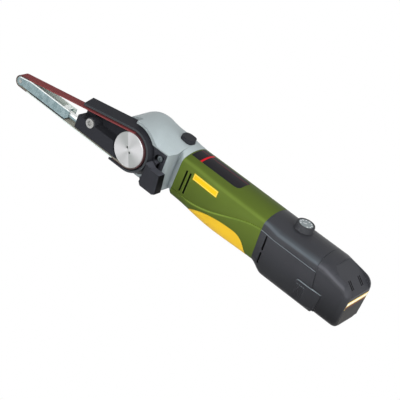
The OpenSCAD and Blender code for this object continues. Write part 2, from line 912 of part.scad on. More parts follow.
// Belt loop at a distance outside the wheel and roller
module belt_outline(s) {
    fall = [-sin(run_fall), cos(run_fall)];
    circle(wheel_r + s);
    translate([tip_x, tip_z]) circle(roller_r + s);
    polygon([
        (wheel_r + s) * fall, [tip_x, tip_z] + (roller_r + s) * fall,
        [tip_x, tip_z - roller_r - s], [0, -wheel_r - s],
    ]);
}
module sanding_belt() {
    color("brown") along_y(belt_set, belt_back) difference() {
        belt_outline(belt_gap + belt_t);
        belt_outline(belt_gap);
    }
}

// Fixed guard: ear with the clamp screw, and a fin under it
module guard() {
    color("dimgray") difference() {
        union() {
            along_y(plate_y - guard_base_t, plate_y) guard_outline(0);
            along_y(ear_y, plate_y) intersection() {
                guard_outline(0);
                translate([0, -fin_top]) square([far, far]);
            }
            along_y(fin_y, plate_y) fin_outline();
        }
        translate([0, ear_y, 0]) rod_along_y(guard_inner_r, -far, far);
        translate([clamp_x, 0, clamp_z]) {
            rod_along_y(clamp_pocket_r, -eps, plate_y - guard_base_t);
            rod_along_y(clamp_shank_r + fit, 0, far);
        }
        block([clamp_x, -far, -fin_top], [guard_reach - ear_wall, plate_y - guard_base_t, clamp_z + clamp_pocket_r]);
    }
}
module guard_outline(gap) {
    polygon([
        [0, ear_top + gap], [guard_reach + gap, ear_top + gap],
        [guard_reach + ear_wall / 2 + gap, -fin_drop / 2], [0, -fin_drop / 2],
    ]);
    fin_outline();
}
// Height of the fin's upper edge: a lip at the left, falling into an S and rising at the right
function fin_edge(x, width) = -fin_top + fin_lip * (1 - smooth(x / fin_lip_len))
    + fin_rise * smooth((x - fin_lip_len) / (width - fin_lip_len));
// Fin below the ear, with rounded lower corners
module fin_outline() {
    right = guard_reach + ear_wall / 2;
    polygon(concat(
        [for (i = [0:fin_steps]) let (x = mix(fin_left, right, i / fin_steps)) [x, fin_edge(x - fin_left, right - fin_left)]],
        [[right, -fin_drop + fin_corner], [fin_left, -fin_drop + fin_corner]]
    ));
    translate([fin_left, fin_tab_z]) circle(fin_tab_r);
    translate([fin_left + fin_corner, -fin_drop]) square([right - fin_left - 2 * fin_corner, fin_corner + eps]);
    for (x = [fin_left + fin_corner, right - fin_corner]) translate([x, -fin_drop + fin_corner]) circle(fin_corner);
}

// Motor group
module pinion() {
    color("gray") translate([pinion_x, mid_y, 0]) rotate([90, 0, 90]) difference() {
        linear_extrude(pinion_len) {
            circle(pinion_r - tooth_dedendum);
            for (i = [0:pinion_teeth - 1]) rotate(i * 360 / pinion_teeth) polygon([
                [0, -tooth_root_w / 2], [pinion_r - tooth_dedendum, -tooth_root_w / 2],
                [pinion_r + tooth_addendum, -tooth_tip_w / 2], [pinion_r + tooth_addendum, tooth_tip_w / 2],
                [pinion_r - tooth_dedendum, tooth_root_w / 2], [0, tooth_root_w / 2],
            ]);
        }
        translate([0, 0, -eps]) cylinder(r = shaft_r + fit / 2, h = pinion_len + 2 * eps);
    }
}
module motor_shaft() {
    color("silver") translate([0, mid_y, 0]) difference() {
        union() {
            rod_along_x(shaft_r, pinion_x, motor_x + motor_len + rear_boss_len);
            rod_along_x(collar_r, lock_x - collar_len / 2, lock_x + collar_len / 2);
        }
        translate([lock_x, 0, 0]) rod_along_z(lock_pin_r + lock_hole_gap, -far, far);
    }
}
module motor_rotor() {
    color("peru") translate([0, mid_y, 0]) difference() {
        rod_along_x(rotor_r, motor_x + rotor_set, motor_x + motor_len - rotor_set);
        rod_along_x(shaft_r + fit / 2, 0, far);
        for (i = [0:rotor_slots - 1]) rotate([i * 360 / rotor_slots, 0, 0])
            block([0, -rotor_slot_w / 2, rotor_r - rotor_slot_depth], [far, rotor_slot_w / 2, far]);
    }
}
module motor_can() {
    color("gray") translate([0, mid_y, 0]) difference() {
        union() {
            rod_along_x(motor_r, motor_x, motor_x + motor_len);
            rod_along_x(rear_boss_r, motor_x, motor_x + motor_len + rear_boss_len);
        }
        rod_along_x(motor_r - motor_wall, motor_x + motor_wall, motor_x + motor_len - motor_wall);
        rod_along_x(shaft_r + run_fit, 0, far);
    }
}
module cooling_fan() {
    color("black") translate([0, mid_y, 0]) difference() {
        union() {
            rod_along_x(fan_hub_r, fan_x, fan_x + fan_len);
            rod_along_x(fan_r, fan_x + fan_len - fan_blade_t, fan_x + fan_len);
            for (i = [0:fan_blades - 1]) rotate([i * 360 / fan_blades, 0, 0])
                block([fan_x, -fan_blade_t / 2, 0], [fan_x + fan_len, fan_blade_t / 2, fan_r]);
        }
        rod_along_x(shaft_r + fit / 2, 0, far);
    }
}

// Handle form of the green body
function body_top_at(t) = mix(front_crest_z, crest_z, min(max(t, 0), 1) * max(t, 0));
function body_w_at(t) = mix(front_half_w, body_half_w, smooth(t / belly_share));
function body_low_at(t) = mix(mix(front_z, belly_z, smooth(t / belly_share)), body_half_w + play,
    smooth((t - belly_share) / (1 - belly_share)));
module body_form(inset, from_x, to_x) {
    loft([for (i = [0:body_stations]) let (x = mix(from_x, to_x, i / body_stations), t = (x - body_x) / body_len)
        section_ring(x, body_w_at(t), body_top_at(t), body_low_at(t), inset)]);
}
// Handle form of the rear housing, flaring from the body
module rear_form(inset, from_x, to_x) {
    flare = [for (k = [0:flare_steps]) body_end + flare_len * k / flare_steps];
    stations = concat([from_x], [for (x = flare) if (x > from_x + eps && x < to_x - eps) x], [to_x]);
    loft([for (x = stations) let (f = smooth((x - body_end) / flare_len))
        section_ring(x, mix(body_half_w, rear_half_w, f), crest_z, mix(body_half_w + play, rear_z, f), inset)]);
}
// Region above the S-shaped seam, seen from the side
function seam_z(x) = mix(seam_front_z, seam_back_z,
    smooth(pow(max((x - body_x) / body_len - seam_front_share, 0) / (1 - seam_front_share), seam_bend)));
module above_seam(gap) {
    along_y(-far, far) polygon(concat(
        [for (i = [0:seam_steps]) let (x = mix(body_x, body_end, i / seam_steps)) [x, seam_z(x) + gap]],
        [[body_end + far, seam_back_z + gap], [body_end + far, far], [-far, far], [-far, seam_front_z + gap]]
    ));
}
// Shell wall, with ribs that hold the motor and the board
module body_wall(inset) {
    difference() {
        body_form(inset, body_x, body_end + wall);
        difference() {
            body_form(shell_inset, body_x - eps, body_end + 2 * wall);
            for (x = [motor_x + rib_set, motor_x + motor_len - rib_set - rib_t])
                block([x, -far, -far], [x + rib_t, far, far]);
            for (x = [board_front + rib_t, board_front + board_len - 2 * rib_t])
                block([x, -far, -far], [x + rib_t, far, board_z]);
            body_bosses();
        }
        translate([0, mid_y, 0]) rod_along_x(motor_r + fit, body_x, motor_x + motor_len + eps);
        behind(body_end, body_tilt);
        vents();
    }
}
module body_bosses() {
    for (side = [-1, 1]) translate([body_screw_x, mid_y + side * body_screw_y, 0]) rod_along_z(boss_r, -far, far);
}
module vents() {
    for (i = [0:1]) for (side = [-1, 1])
        translate([body_x + vent_x_set + i * vent_pitch, mid_y + side * front_half_w, 0])
            block([-vent_w / 2, -2 * wall, -vent_bottom], [vent_w / 2, 2 * wall, vent_top]);
}
module house_screw_cut(x, y, low) {
    translate([x, mid_y + y, 0]) {
        rod_along_z(house_screw_r + fit, -far, house_screw_up + eps);
        rod_along_z(house_screw_head_r + fit, -far, low + house_screw_head_h + fit);
    }
}
// Lowest point of a screw head under the body and under the rear housing
function body_head_z() = -(body_half_w + play) + shell_inset;
function rear_head_z() = body_head_z();

module upper_shell() {
    color("olivedrab") difference() {
        intersection() {
            body_wall(0);
            above_seam(fit / 2);
        }
        for (side = [-1, 1]) house_screw_cut(body_screw_x, side * body_screw_y, body_head_z());
    }
}
module lower_shell() {
    color("darkolivegreen") difference() {
        body_wall(lower_inset);
        above_seam(-fit / 2);
        difference() {
            grip_region(grip_gap);
            body_form(lower_inset + grip_t + grip_gap, body_x, body_end + wall);
        }
        for (side = [-1, 1]) house_screw_cut(body_screw_x, side * body_screw_y, body_head_z());
        switch_slot();
    }
}
// Soft grip let into the underside
module grip_region(gap) {
    along_y(-far, far) polygon(concat(
        [for (i = [0:grip_steps]) let (a = 180 - 90 * i / grip_steps)
            [grip_mid_x + (grip_front_a + gap) * cos(a), grip_base_z + (grip_h + gap) * sin(a)]],
        [for (i = [1:grip_steps]) let (a = 90 - 90 * i / grip_steps)
            [grip_mid_x + (grip_rear_a + gap) * cos(a), grip_base_z + (grip_h + gap) * sin(a)]]
    ));
}
module soft_grip() {
    color("gold") difference() {
        intersection() {
            grip_region(0);
            body_form(lower_inset - grip_proud, body_x, body_end);
        }
        body_form(lower_inset + grip_t, body_x - eps, body_end + eps);
        for (side = [-1, 1]) house_screw_cut(body_screw_x, side * body_screw_y, body_head_z());
    }
}

// Rear housing
module rear_wall(inset) {
    difference() {
        rear_form(inset, body_end - 2 * wall, rear_end + 4 * wall);
        difference() {
            rear_form(shell_inset, body_end - 3 * wall, rear_end + 5 * wall);
            for (side = [-1, 1]) translate([body_end + rear_screw_set, mid_y + side * rear_screw_y, 0])
                rod_along_z(boss_r, -far, far);
            block([contact_x() - rib_t - fit, -far, -far], [contact_x() - fit, far, cell_low_z]);
        }
        difference() {
            block([-far, -far, -far], [far, far, far]);
            behind(body_end + fit, body_tilt);
        }
        behind(rear_end, rear_tilt);
        for (side = [-1, 1]) house_screw_cut(body_end + rear_screw_set, side * rear_screw_y, rear_head_z());
        for (span = rear_vent_spans) translate([body_end + rear_vent_x, 0, 0]) rotate([0, -body_tilt, 0])
            for (side = [-1, 1]) translate([0, mid_y, 0]) scale([1, side, 1]) translate([0, vent_half_w(), 0])
                block([-rear_vent_w / 2, -shell_inset - wall / 2, span[0]], [rear_vent_w / 2, 2 * wall, span[1]]);
    }
}
function vent_half_w() = mix(body_half_w, rear_half_w, smooth(rear_vent_x / flare_len));
function contact_x() = insert_front - play - contact_len;
module rear_upper_shell() {
    color("dimgray") difference() {
        rear_wall(0);
        block([-far, -far, -far], [far, far, rear_seam_z + fit / 2]);
        translate([dial_x, mid_y, 0]) rod_along_z(dial_neck_r + play, 0, far);
    }
}
module rear_lower_shell() {
    color("slategray") difference() {
        rear_wall(lower_inset);
        block([-far, -far, rear_seam_z - fit / 2], [far, far, far]);
        for (side = [-1, 1]) latch_space(side, latch_travel + play + wall);
    }
}

module housing_screws() {
    color("silver") {
        for (side = [-1, 1]) translate([body_screw_x, mid_y + side * body_screw_y, 0]) house_screw(body_head_z());
        for (side = [-1, 1]) translate([body_end + rear_screw_set, mid_y + side * rear_screw_y, 0])
            house_screw(rear_head_z());
    }
}
module house_screw(low) {
    difference() {
        union() {
            rod_along_z(house_screw_head_r, low, low + house_screw_head_h);
            rod_along_z(house_screw_r, low, house_screw_up);
        }
        rod_along_z(house_screw_r * 2 / 3, low - eps, low + house_screw_head_h / 2);
    }
}

// Electronics
module circuit_board() {
    color("green") block([board_front, mid_y - board_half_w, board_z],
        [board_front + board_len, mid_y + board_half_w, board_z + board_t]);
}
module switch_body() {
    color("black") block([switch_mid_x - switch_len / 2, mid_y + board_half_w - switch_depth, board_z + board_t],
        [switch_mid_x + switch_len / 2, mid_y + board_half_w, board_z + board_t + switch_h]);
}
module switch_slot() {
    half = slider_neck_l / 2 + switch_travel / 2 + play;
    translate([switch_mid_x, mid_y + body_half_w, switch_mid_z])
        block([-half, -2 * wall, -slider_neck_h / 2 - play / 2], [half, 2 * wall, slider_neck_h / 2 + play / 2]);
}
// Slider pad with grip ribs, its neck through the wall and a tongue at the switch
module switch_slider() {
    color("black") translate([switch_mid_x - switch_travel / 2, mid_y, switch_mid_z]) {
        block([-slider_len / 2, body_half_w - lower_inset + play / 2, -slider_h / 2],
            [slider_len / 2, body_half_w - lower_inset + slider_t, slider_h / 2]);
        block([-slider_neck_l / 2, board_half_w + play / 2, -slider_neck_h / 2],
            [slider_neck_l / 2, body_half_w + slider_t / 2, slider_neck_h / 2]);
        for (i = [0:slider_ribs - 1])
            translate([mix(-slider_len / 2, slider_len / 2, (i + 0.5) / slider_ribs), body_half_w - lower_inset + slider_t, 0])
                rod_along_z(slider_rib, -slider_h / 2, slider_h / 2);
    }
}
module contact_block() {
    color("black") block([contact_x(), mid_y - contact_half_w, cell_low_z - contact_h / 2],
        [contact_x() + contact_len, mid_y + contact_half_w, cell_low_z + contact_h / 2]);
}
module potentiometer() {
    inner = crest_z - shell_inset;
    color("royalblue") translate([dial_x, mid_y, 0]) {
        rod_along_z(pot_r, inner - pot_drop - pot_h, inner - pot_drop);
        rod_along_z(dial_neck_r - play, inner - pot_h, crest_z + dial_h / 3);
    }
}

// Speed dial: ribbed knob with a light plate let into its top
module speed_dial() {
    low = crest_z + play;
    color("dimgray") translate([dial_x, mid_y, 0]) difference() {
        union() {
            translate([0, 0, low]) cylinder(r1 = dial_r * 9 / 8, r2 = dial_r, h = dial_h);
            for (i = [0:dial_ribs - 1]) rotate(i * 360 / dial_ribs) translate([dial_r, 0, low])
                cylinder(r = dial_rib_r, h = dial_h - dial_recess);
        }
        rod_along_z(dial_plate_r + fit, low + dial_h - dial_recess, far);
        rod_along_z(dial_neck_r - play + fit, 0, crest_z + dial_h / 3 + fit);
    }
}
module dial_plate() {
    top = crest_z + play + dial_h - dial_recess;
    color("lightgray") translate([dial_x, mid_y, 0]) rod_along_z(dial_plate_r, top, top + dial_plate_t);
}

// Battery pack: cap behind the split, insert inside the housing
function round_in(x, r) = let (d = max(x - (cap_end - r), 0)) r - sqrt(max(r * r - d * d, 0));
module cap_form() {
    loft([for (i = [0:body_stations + 5]) let (
            s = i / (body_stations + 5),
            x = mix(cap_end, rear_end - 4 * wall, pow(1 - s, 2)),
            t = min(max((x - rear_end - cap_slope_start) / (cap_len - cap_slope_start), 0), 1),
            top = crest_z - cap_rear_drop * t - round_in(x, cap_top_round)
        )
        section_ring(x, cap_half_w - round_in(x, cap_round), top, cap_z - round_in(x, cap_low_round), 0)]);
}
module battery_case() {
    color("dimgray") difference() {
        union() {
            intersection() {
                cap_form();
                behind(rear_end + cap_gap, rear_tilt);
            }
            intersection() {
                rear_form(shell_inset + insert_gap, insert_front, rear_end + 2 * wall);
                block([-far, -far, -far], [rear_end + wall, far, insert_top]);
            }
        }
        translate([shoulder_x, mid_y, crest_z - scoop_depth]) rotate([0, scoop_tilts[0], 0]) {
            linear_extrude(far) scoop_outline();
            translate([scoop_break, 0, 0]) rotate([0, scoop_tilts[1] - scoop_tilts[0], 0])
            {
                linear_extrude(far) translate([0, -scoop_half_w]) square([far, 2 * scoop_half_w]);
                for (side = [-1, 1]) for (k = [0, 1])
                    translate([0, side * groove_set + (k - 1 / 2) * groove_pitch, 0])
                        block([groove_w, -groove_w / 2, -groove_depth], [groove_len, groove_w / 2, eps]);
            }
        }
        for (c = cell_places()) translate([0, mid_y + c[0], c[1]]) rod_along_x(cell_r + fit, cell_x, cell_x + cell_len + fit);
        for (side = [-1, 1]) latch_space(side, latch_travel + play);
    }
}
module scoop_outline() {
    translate([scoop_corner, -scoop_half_w]) square([far, 2 * scoop_half_w]);
    translate([0, -scoop_half_w + scoop_corner]) square([far, 2 * (scoop_half_w - scoop_corner)]);
    for (side = [-1, 1]) translate([scoop_corner, side * (scoop_half_w - scoop_corner)]) circle(scoop_corner);
}
function cell_places() = [[0, cell_high_z], [cell_pitch_half, cell_low_z], [-cell_pitch_half, cell_low_z]];
module battery_cells() {
    color("seagreen") for (c = cell_places())
        translate([0, mid_y + c[0], c[1]]) rod_along_x(cell_r, cell_x + fit, cell_x + cell_len);
}
// Side view of a latch, grown by a gap
module latch_outline(gap) {
    length = latch_len + 2 * gap;
    translate([latch_x - gap + latch_corner, latch_low - gap]) square([length - latch_corner, latch_top - latch_low + 2 * gap]);
    translate([latch_x - gap, latch_low - gap]) square([length, latch_top - latch_low + 2 * gap - latch_corner]);
    translate([latch_x - gap + latch_corner, latch_top + gap - latch_corner]) circle(latch_corner);
}
module latch_space(side, depth) {
    base = rear_half_w + latch_proud - latch_t;
    translate([0, mid_y, 0]) scale([1, side, 1]) along_y(base - depth, base + far) latch_outline(latch_gap);
}
module battery_latch(side) {
    base = rear_half_w + latch_proud - latch_t;
    translate([0, mid_y, 0]) scale([1, side, 1]) {
        difference() {
            along_y(base, base + latch_t) latch_outline(0);
            translate([latch_x + latch_len / 2, base + latch_t, 0])
                rotate([0, 0, -atan(2 * latch_proud / latch_len)]) block([0, 0, -far], [far, far, far]);
        }
        for (i = [0:latch_ribs - 1]) translate([latch_x + latch_rib_set + i * latch_rib_pitch, base + latch_t, 0])
            rod_along_z(latch_rib_r, latch_low + latch_corner, latch_top - latch_corner);
    }
}
module battery_latch_left() { color("slategray") battery_latch(-1); }
module battery_latch_right() { color("slategray") battery_latch(1); }

drive_wheel();
spindle();
crown_gear();
front_bearing();
rear_bearing();
bearing_plate();
plate_screws();
gear_head();
lock_button();
lock_pin();
lock_spring();
belt_carrier();
swivel_ring();
tracking_screw();
tension_rod();
tension_spring();
blade();
platen_pad();
tip_roller();
roller_pin();
sanding_belt();
guard();
clamp_screw();
pinion();
motor_shaft();
motor_rotor();
motor_can();
cooling_fan();
shaft_bearing();
upper_shell();
lower_shell();
soft_grip();
rear_upper_shell();
rear_lower_shell();
housing_screws();
circuit_board();
switch_body();
switch_slider();
contact_block();
potentiometer();
speed_dial();
dial_plate();
battery_case();
battery_cells();
battery_latch_left();
battery_latch_right();
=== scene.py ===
import json
import math

import bmesh
import bpy
from mathutils import Matrix, Vector


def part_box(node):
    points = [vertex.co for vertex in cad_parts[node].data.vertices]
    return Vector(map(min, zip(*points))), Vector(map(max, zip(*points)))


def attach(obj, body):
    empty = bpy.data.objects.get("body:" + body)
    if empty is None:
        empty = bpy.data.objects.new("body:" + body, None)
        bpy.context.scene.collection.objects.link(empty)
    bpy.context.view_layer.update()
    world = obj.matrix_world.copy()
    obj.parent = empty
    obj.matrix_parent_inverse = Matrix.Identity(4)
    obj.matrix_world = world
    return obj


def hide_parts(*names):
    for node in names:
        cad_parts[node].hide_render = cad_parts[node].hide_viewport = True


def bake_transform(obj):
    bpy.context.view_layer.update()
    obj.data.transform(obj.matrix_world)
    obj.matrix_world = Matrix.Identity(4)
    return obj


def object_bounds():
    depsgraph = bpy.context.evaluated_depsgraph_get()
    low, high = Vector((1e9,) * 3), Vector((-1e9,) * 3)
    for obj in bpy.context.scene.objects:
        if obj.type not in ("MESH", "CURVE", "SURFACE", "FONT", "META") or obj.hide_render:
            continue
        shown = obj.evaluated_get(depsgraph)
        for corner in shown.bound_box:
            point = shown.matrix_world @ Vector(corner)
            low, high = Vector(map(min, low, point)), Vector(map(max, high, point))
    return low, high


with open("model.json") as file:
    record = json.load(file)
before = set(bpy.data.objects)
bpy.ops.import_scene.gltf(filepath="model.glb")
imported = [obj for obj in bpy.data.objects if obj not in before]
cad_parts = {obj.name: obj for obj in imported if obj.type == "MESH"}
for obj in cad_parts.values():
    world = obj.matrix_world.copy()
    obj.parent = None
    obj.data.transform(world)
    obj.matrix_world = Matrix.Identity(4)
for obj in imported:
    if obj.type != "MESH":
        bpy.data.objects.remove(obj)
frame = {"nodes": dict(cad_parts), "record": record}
loaded_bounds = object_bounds()
nodes = frame["nodes"]

# Origin: centre of the drive wheel's outer face; x runs to the battery, -y to the viewer, z up
MM = 0.001

# Sizes of the solids that the materials and added pieces follow, in millimetres
MID_Y = 30.6
WHEEL_R = 16.0
ROLLER_R = 4.5
BLADE_TOP = -5.2
BODY_X = 46.0
BODY_LEN = 93.5
FRONT_HALF_WIDTH = 18.9
REAR_HALF_WIDTH = 20.3
WIDENING_SHARE = 0.52
FRONT_CREST = 23.3
REAR_CREST = 22.8
CROWN_R = 36.0
RIDGE_R = 6.0
SEAM_START = 0.15
SEAM_FRONT = -10.8
SEAM_BACK = 11.0
SEAM_BEND = 1.15
BATTERY_END = 231.0

# Spans along x and z of the slots, and half the width of the grooves in the battery
BODY_SLOTS = (53.3, 59.8), (-9.0, 12.3)
REAR_SLOTS = (142.5, 151.5), (-17.0, 9.5)
LEDGE_LOWEST = 6.0
GROOVES_HALF = 12.0

# The belt, with the places where its look changes
BELT_LENGTH = 330.0
BELT_Y = (0.1, 10.1)
BELT_GAP = 0.15
BELT_T = 0.9
TIP_X = -122.0
COVERED_X = -15.0
LOWER_RUN_Z = -10.0
WHEEL_STEPS = 64
RUN_STEPS = 40
TIP_STEPS = 32
BELT_SIDES = 4
OUTSIDE, INSIDE = 0, 2

# The finger of the guard
FINGER_Y = (4.2, -4.3)
FINGER_LEFT = 23.3
FINGER_RIGHT = 39.8
FINGER_SPREAD = 2.6
FINGER_TOP = 0.3
FINGER_LIP = 3.0
FINGER_LIP_LONG = 6.5
FINGER_BOTTOM = -18.9
FINGER_CORNER = 2.6
FINGER_EDGE = 1.4
LIP_STEPS = 16
CORNER_STEPS = 6

# The bare plates
BADGE_X = 62.0
BADGE_Z = 8.6
BADGE_LONG = 27.4
BADGE_HIGH = 6.0
BADGE_T = 0.15
LABEL_X = 47.5
LABEL_LONG = 53.0
LABEL_WIDE = 20.0
LABEL_CORNER = 4.5
LABEL_ROUND_FROM = 0.75
LABEL_T = 0.12
END_LABEL_Z = -21.5
END_LABEL_WIDE = 34.0
END_LABEL_HIGH = 24.0

# The dark sheet behind the vents, painted shade for the inside of the body
VENT_X = 56.5
VENT_Z = 1.6
VENT_LONG = 8.5
VENT_HIGH = 22.5
SHADE_SHEET_Y = 15.6
SHADE_SHEET_T = 0.4

# The dots and the pointer on the dial
DOTS = 9
DOT_RING_R = 5.0
DOT_R = (0.75, 0.6)
DOT_START = 225.0
DOT_SWEEP = 270.0
POINTER_AT = (-0.8, -0.4)
POINTER_SIZE = (3.2, 0.7)
POINTER_TURN = 35.0
MARK_T = 0.1
MARK_LIFT = 0.03

# Edges: welded below a gap in millimetres, softened or sharp above an angle in degrees
WELD_GAP = 0.003
SOFT_ANGLE = 38.0
SHARP_ANGLE = 35.0

# The studio: drop in millimetres, other lengths in metres
FLOOR_DROP = 130.0
FLOOR_HALF = 3.0
SKY_LIGHT = 0.22
LAMP_AIM = (0.05, 0.03, 0.0)
LENS = 108.0
CAMERA_AT = (0.467, -0.77635, 0.487)
CAMERA_BACK = (0.3881, -0.7824, 0.487)
CAMERA_RIGHT = (0.7329, 0.5824, 0.3516)

# Colours
GREEN = (0.075, 0.108, 0.0178)
YELLOW = (0.53, 0.33, 0.011)
DARK = (0.034, 0.035, 0.04)
BLACK = (0.025, 0.026, 0.031)
# Near-black of the painted shade in slots, grooves and behind the vents
SLOT_SHADE = (0.003, 0.003, 0.003)
CAST = (0.41, 0.47, 0.485)
# Colour of the painted highlight on ledges
LEDGE_HIGHLIGHT = (0.34, 0.4, 0.43)
WHITE = (1.0, 1.0, 1.0, 1.0)
FLOOR_GREY = (0.8, 0.8, 0.8, 1.0)

# Ways that a face can look: an axis and a sign
NEAR = (1, -1.0)
REAR = (0, 1.0)
UP = (2, 1.0)

# Paint: start of the wheel's painted sheen in half turns; clouds in plastic, soft edges of print in
# mm
SHEEN_START = 0.195
CLOUD_SIZE = 34.0
LINE_SOFT = 0.1
BAND_SOFT = 0.15


# Node materials

class Value:
    """A shader socket that takes part in sums."""

    def __init__(self, paint, socket):
        self.paint = paint
        self.socket = socket

    def maths(self, operation, *others):
        inputs = dict(enumerate((self, *others)))
        return self.paint.node("ShaderNodeMath", inputs, operation=operation)

    def after(self, operation, first):
        return self.paint.node("ShaderNodeMath", {0: first, 1: self}, operation=operation)

    def __add__(self, other):
        return self.maths("ADD", other)

    def __mul__(self, other):
        return self.maths("MULTIPLY", other)

    def __sub__(self, other):
        return self.maths("SUBTRACT", other)

    def __truediv__(self, other):
        return self.maths("DIVIDE", other)

    def __rsub__(self, other):
        return self.after("SUBTRACT", other)

    def __rtruediv__(self, other):
        return self.after("DIVIDE", other)

    __radd__ = __add__
    __rmul__ = __mul__

    def step(self, low, high):
        """0 below low, 1 above high, smooth between them."""
        inputs = {0: self, 1: low, 2: high, 3: 0.0, 4: 1.0}
        return self.paint.node("ShaderNodeMapRange", inputs, interpolation_type="SMOOTHSTEP")

    def between(self, low, high, soft=0.05):
        """1 between low and high, 0 outside."""
        return self.step(low - soft, low + soft) * (1.0 - self.step(high - soft, high + soft))


class Nodes:
    """A node tree, and the one method that adds nodes to it."""

    def __init__(self, tree):
        self.tree = tree

    def node(self, kind, inputs, out=0, **settings):
        """Add a node, set or link its inputs, and give one of its outputs."""
        made = self.tree.nodes.new(kind)
        for key, value in settings.items():
            setattr(made, key, value)
        for key, value in inputs.items():
            if isinstance(value, Value):
                self.tree.links.new(value.socket, made.inputs[key])
            else:
                made.inputs[key].default_value = value
        return None if out is None else Value(self, made.outputs[out])


class Paint(Nodes):
    """One node material."""

    SOCKETS = {
        "color": "Base Color", "rough": "Roughness", "metal": "Metallic",
        "normal": "Normal", "specular": "Specular IOR Level",
    }

    def __init__(self, name):
        self.material = bpy.data.materials.new(name)
        self.material.use_nodes = True
        super().__init__(self.material.node_tree)
        self.tree.nodes.clear()
        self.place = self.node("ShaderNodeTexCoord", {}, out="Object")

    def split(self, vector):
        """x, y and z of a vector."""
        first = self.node("ShaderNodeSeparateXYZ", {0: vector})
        return [Value(self, socket) for socket in first.socket.node.outputs]

    def axes(self):
        """x, y and z of the place, in millimetres."""
        return [part / MM for part in self.split(self.place)]

    def facing(self):
        """x, y and z of the way that the surface faces."""
        return self.split(self.node("ShaderNodeTexCoord", {}, out="Normal"))

    def uv(self):
        """The two shares of the way across and along a plate."""
        return self.split(self.node("ShaderNodeTexCoord", {}, out="UV"))[:2]

    def noise(self, size_mm, detail=3.0, rough=0.55, at=None):
        inputs = {
            "Vector": at or self.place, "Scale": 1.0 / (size_mm * MM),
            "Detail": detail, "Roughness": rough,
        }
        return self.node("ShaderNodeTexNoise", inputs)

    def drawn_noise(self, sizes_mm, detail):
        """Noise drawn out to a size along each axis."""
        parts = [part / size for part, size in zip(self.axes(), sizes_mm)]
        at = self.node("ShaderNodeCombineXYZ", dict(enumerate(parts)))
        return self.noise(1.0 / MM, detail, 0.6, at)

    def cells(self, size_mm, out="Distance"):
        inputs = {"Vector": self.place, "Scale": 1.0 / (size_mm * MM)}
        return self.node("ShaderNodeTexVoronoi", inputs, out=out)

    def mix(self, factor, a, b):
        """Colour a where factor is 0 and b where it is 1."""
        a, b = (v if isinstance(v, Value) else (*v, 1.0) for v in (a, b))
        return self.node("ShaderNodeMix", {0: factor, 6: a, 7: b}, out=2, data_type="RGBA")

    def bump(self, height, depth_mm):
        return self.node("ShaderNodeBump", {"Height": height, "Distance": depth_mm * MM})

    def surface(self, **sockets):
        inputs = {self.SOCKETS[key]: value for key, value in sockets.items()}
        return self.done(self.node("ShaderNodeBsdfPrincipled", inputs))

    def done(self, shader):
        self.node("ShaderNodeOutputMaterial", {"Surface": shader}, out=None)
        return self.material


def shade(colour, factor):
    """A colour made darker or lighter by a factor."""
    return tuple(min(c * factor, 1.0) for c in colour)


def belt_spans():
    """Length of a free run of the belt, and the angle at which the upper run leaves the wheel."""
    taper = WHEEL_R - ROLLER_R
    first = (BELT_LENGTH - math.pi * (WHEEL_R + ROLLER_R)) / 2
    run = first - math.asin(taper / first) * taper
    return run, math.pi / 2 + 2 * math.atan(taper / run)


def above_run(x, z):
    """Height of a place above the upper run of the belt."""
    _, top = belt_spans()
    return x * math.cos(top) + z * math.sin(top) - WHEEL_R


def moulded(name, colour, rough=0.4, grain=0.5, depth=0.012, spread=0.1, specular=0.35, marks=()):
    """Moulded plastic with a fine eroded texture, and marks of painted light and shade laid over
    its colour.
    """
    p = Paint(name)
    pits = p.noise(grain, 4.0)
    cloud = p.noise(CLOUD_SIZE, 2.0)
    tone = p.mix(cloud, shade(colour, 1.0 - spread), shade(colour, 1.0 + spread))
    for mark in marks:
        tone = mark(p, tone)
    return p.surface(
        color=tone,
        rough=rough - 0.06 + pits * 0.12,
        normal=p.bump(pits, depth),
        specular=specular,
    )


# Marks of painted light and shade: each one lays a colour over the tone of a material

def ridge_highlight(colour):
    """Painted highlight along the ridges between a side and the top."""
    def mark(p, tone):
        _, side, rise = p.facing()
        return p.mix((side.maths("ABSOLUTE") * rise * 2.0).step(0.75, 1.02), tone, colour)
    return mark


def ledge_highlight(colour, lowest=-100.0):
    """Painted highlight on a narrow ledge that faces up, above a height."""
    def mark(p, tone):
        high_up = p.axes()[2].step(lowest, lowest + 1.0)
        return p.mix(p.facing()[2].step(0.3, 0.8) * high_up, tone, colour)
    return mark


def downward_shade(colour, top=16.0, bottom=-22.0):
    """Painted shade: darker down the sides, to a colour at the bottom."""
    def mark(p, tone):
        return p.mix((top - p.axes()[2]).step(0.0, top - bottom), tone, colour)
    return mark


def cover_rim_highlight(colour):
    """Painted highlight on the rim of the belt cover that faces the user."""
    def mark(p, tone):
        x, _, z = p.axes()
        from_wheel = (x * x + z * z).maths("SQRT") - WHEEL_R
        round_wheel = from_wheel.step(1.2, 1.6) * x.step(-1.0, 1.0)
        rim = above_run(x, z).step(1.2, 1.6).maths("MAXIMUM", round_wheel)
        return p.mix(rim * (0.0 - p.facing()[1]).step(0.6, 0.9), tone, colour)
    return mark


def painted_light_by_facing(way, colour):
    """Painted light and shade: another tone, lighter or darker, on the faces that look one way."""
    axis, sign = way

    def mark(p, tone):
        return p.mix((p.facing()[axis] * sign).step(0.5, 0.9), tone, colour)
    return mark


def slope_highlight(colour):
    """Painted light: paler on a panel that slopes down to the rear."""
    def mark(p, tone):
        rearward, _, rise = p.facing()
        return p.mix(rearward.step(0.2, 0.4) * rise.step(0.2, 0.4), tone, colour)
    return mark


def slot_wall_shade(x_span, z_span):
    """Painted shade: dark walls of the slots cut through a side."""
    def mark(p, tone):
        x, _, z = p.axes()
        wall = 1.0 - p.facing()[1].maths("ABSOLUTE").step(0.5, 0.8)
        return p.mix(x.between(*x_span) * z.between(*z_span) * wall, tone, SLOT_SHADE)
    return mark


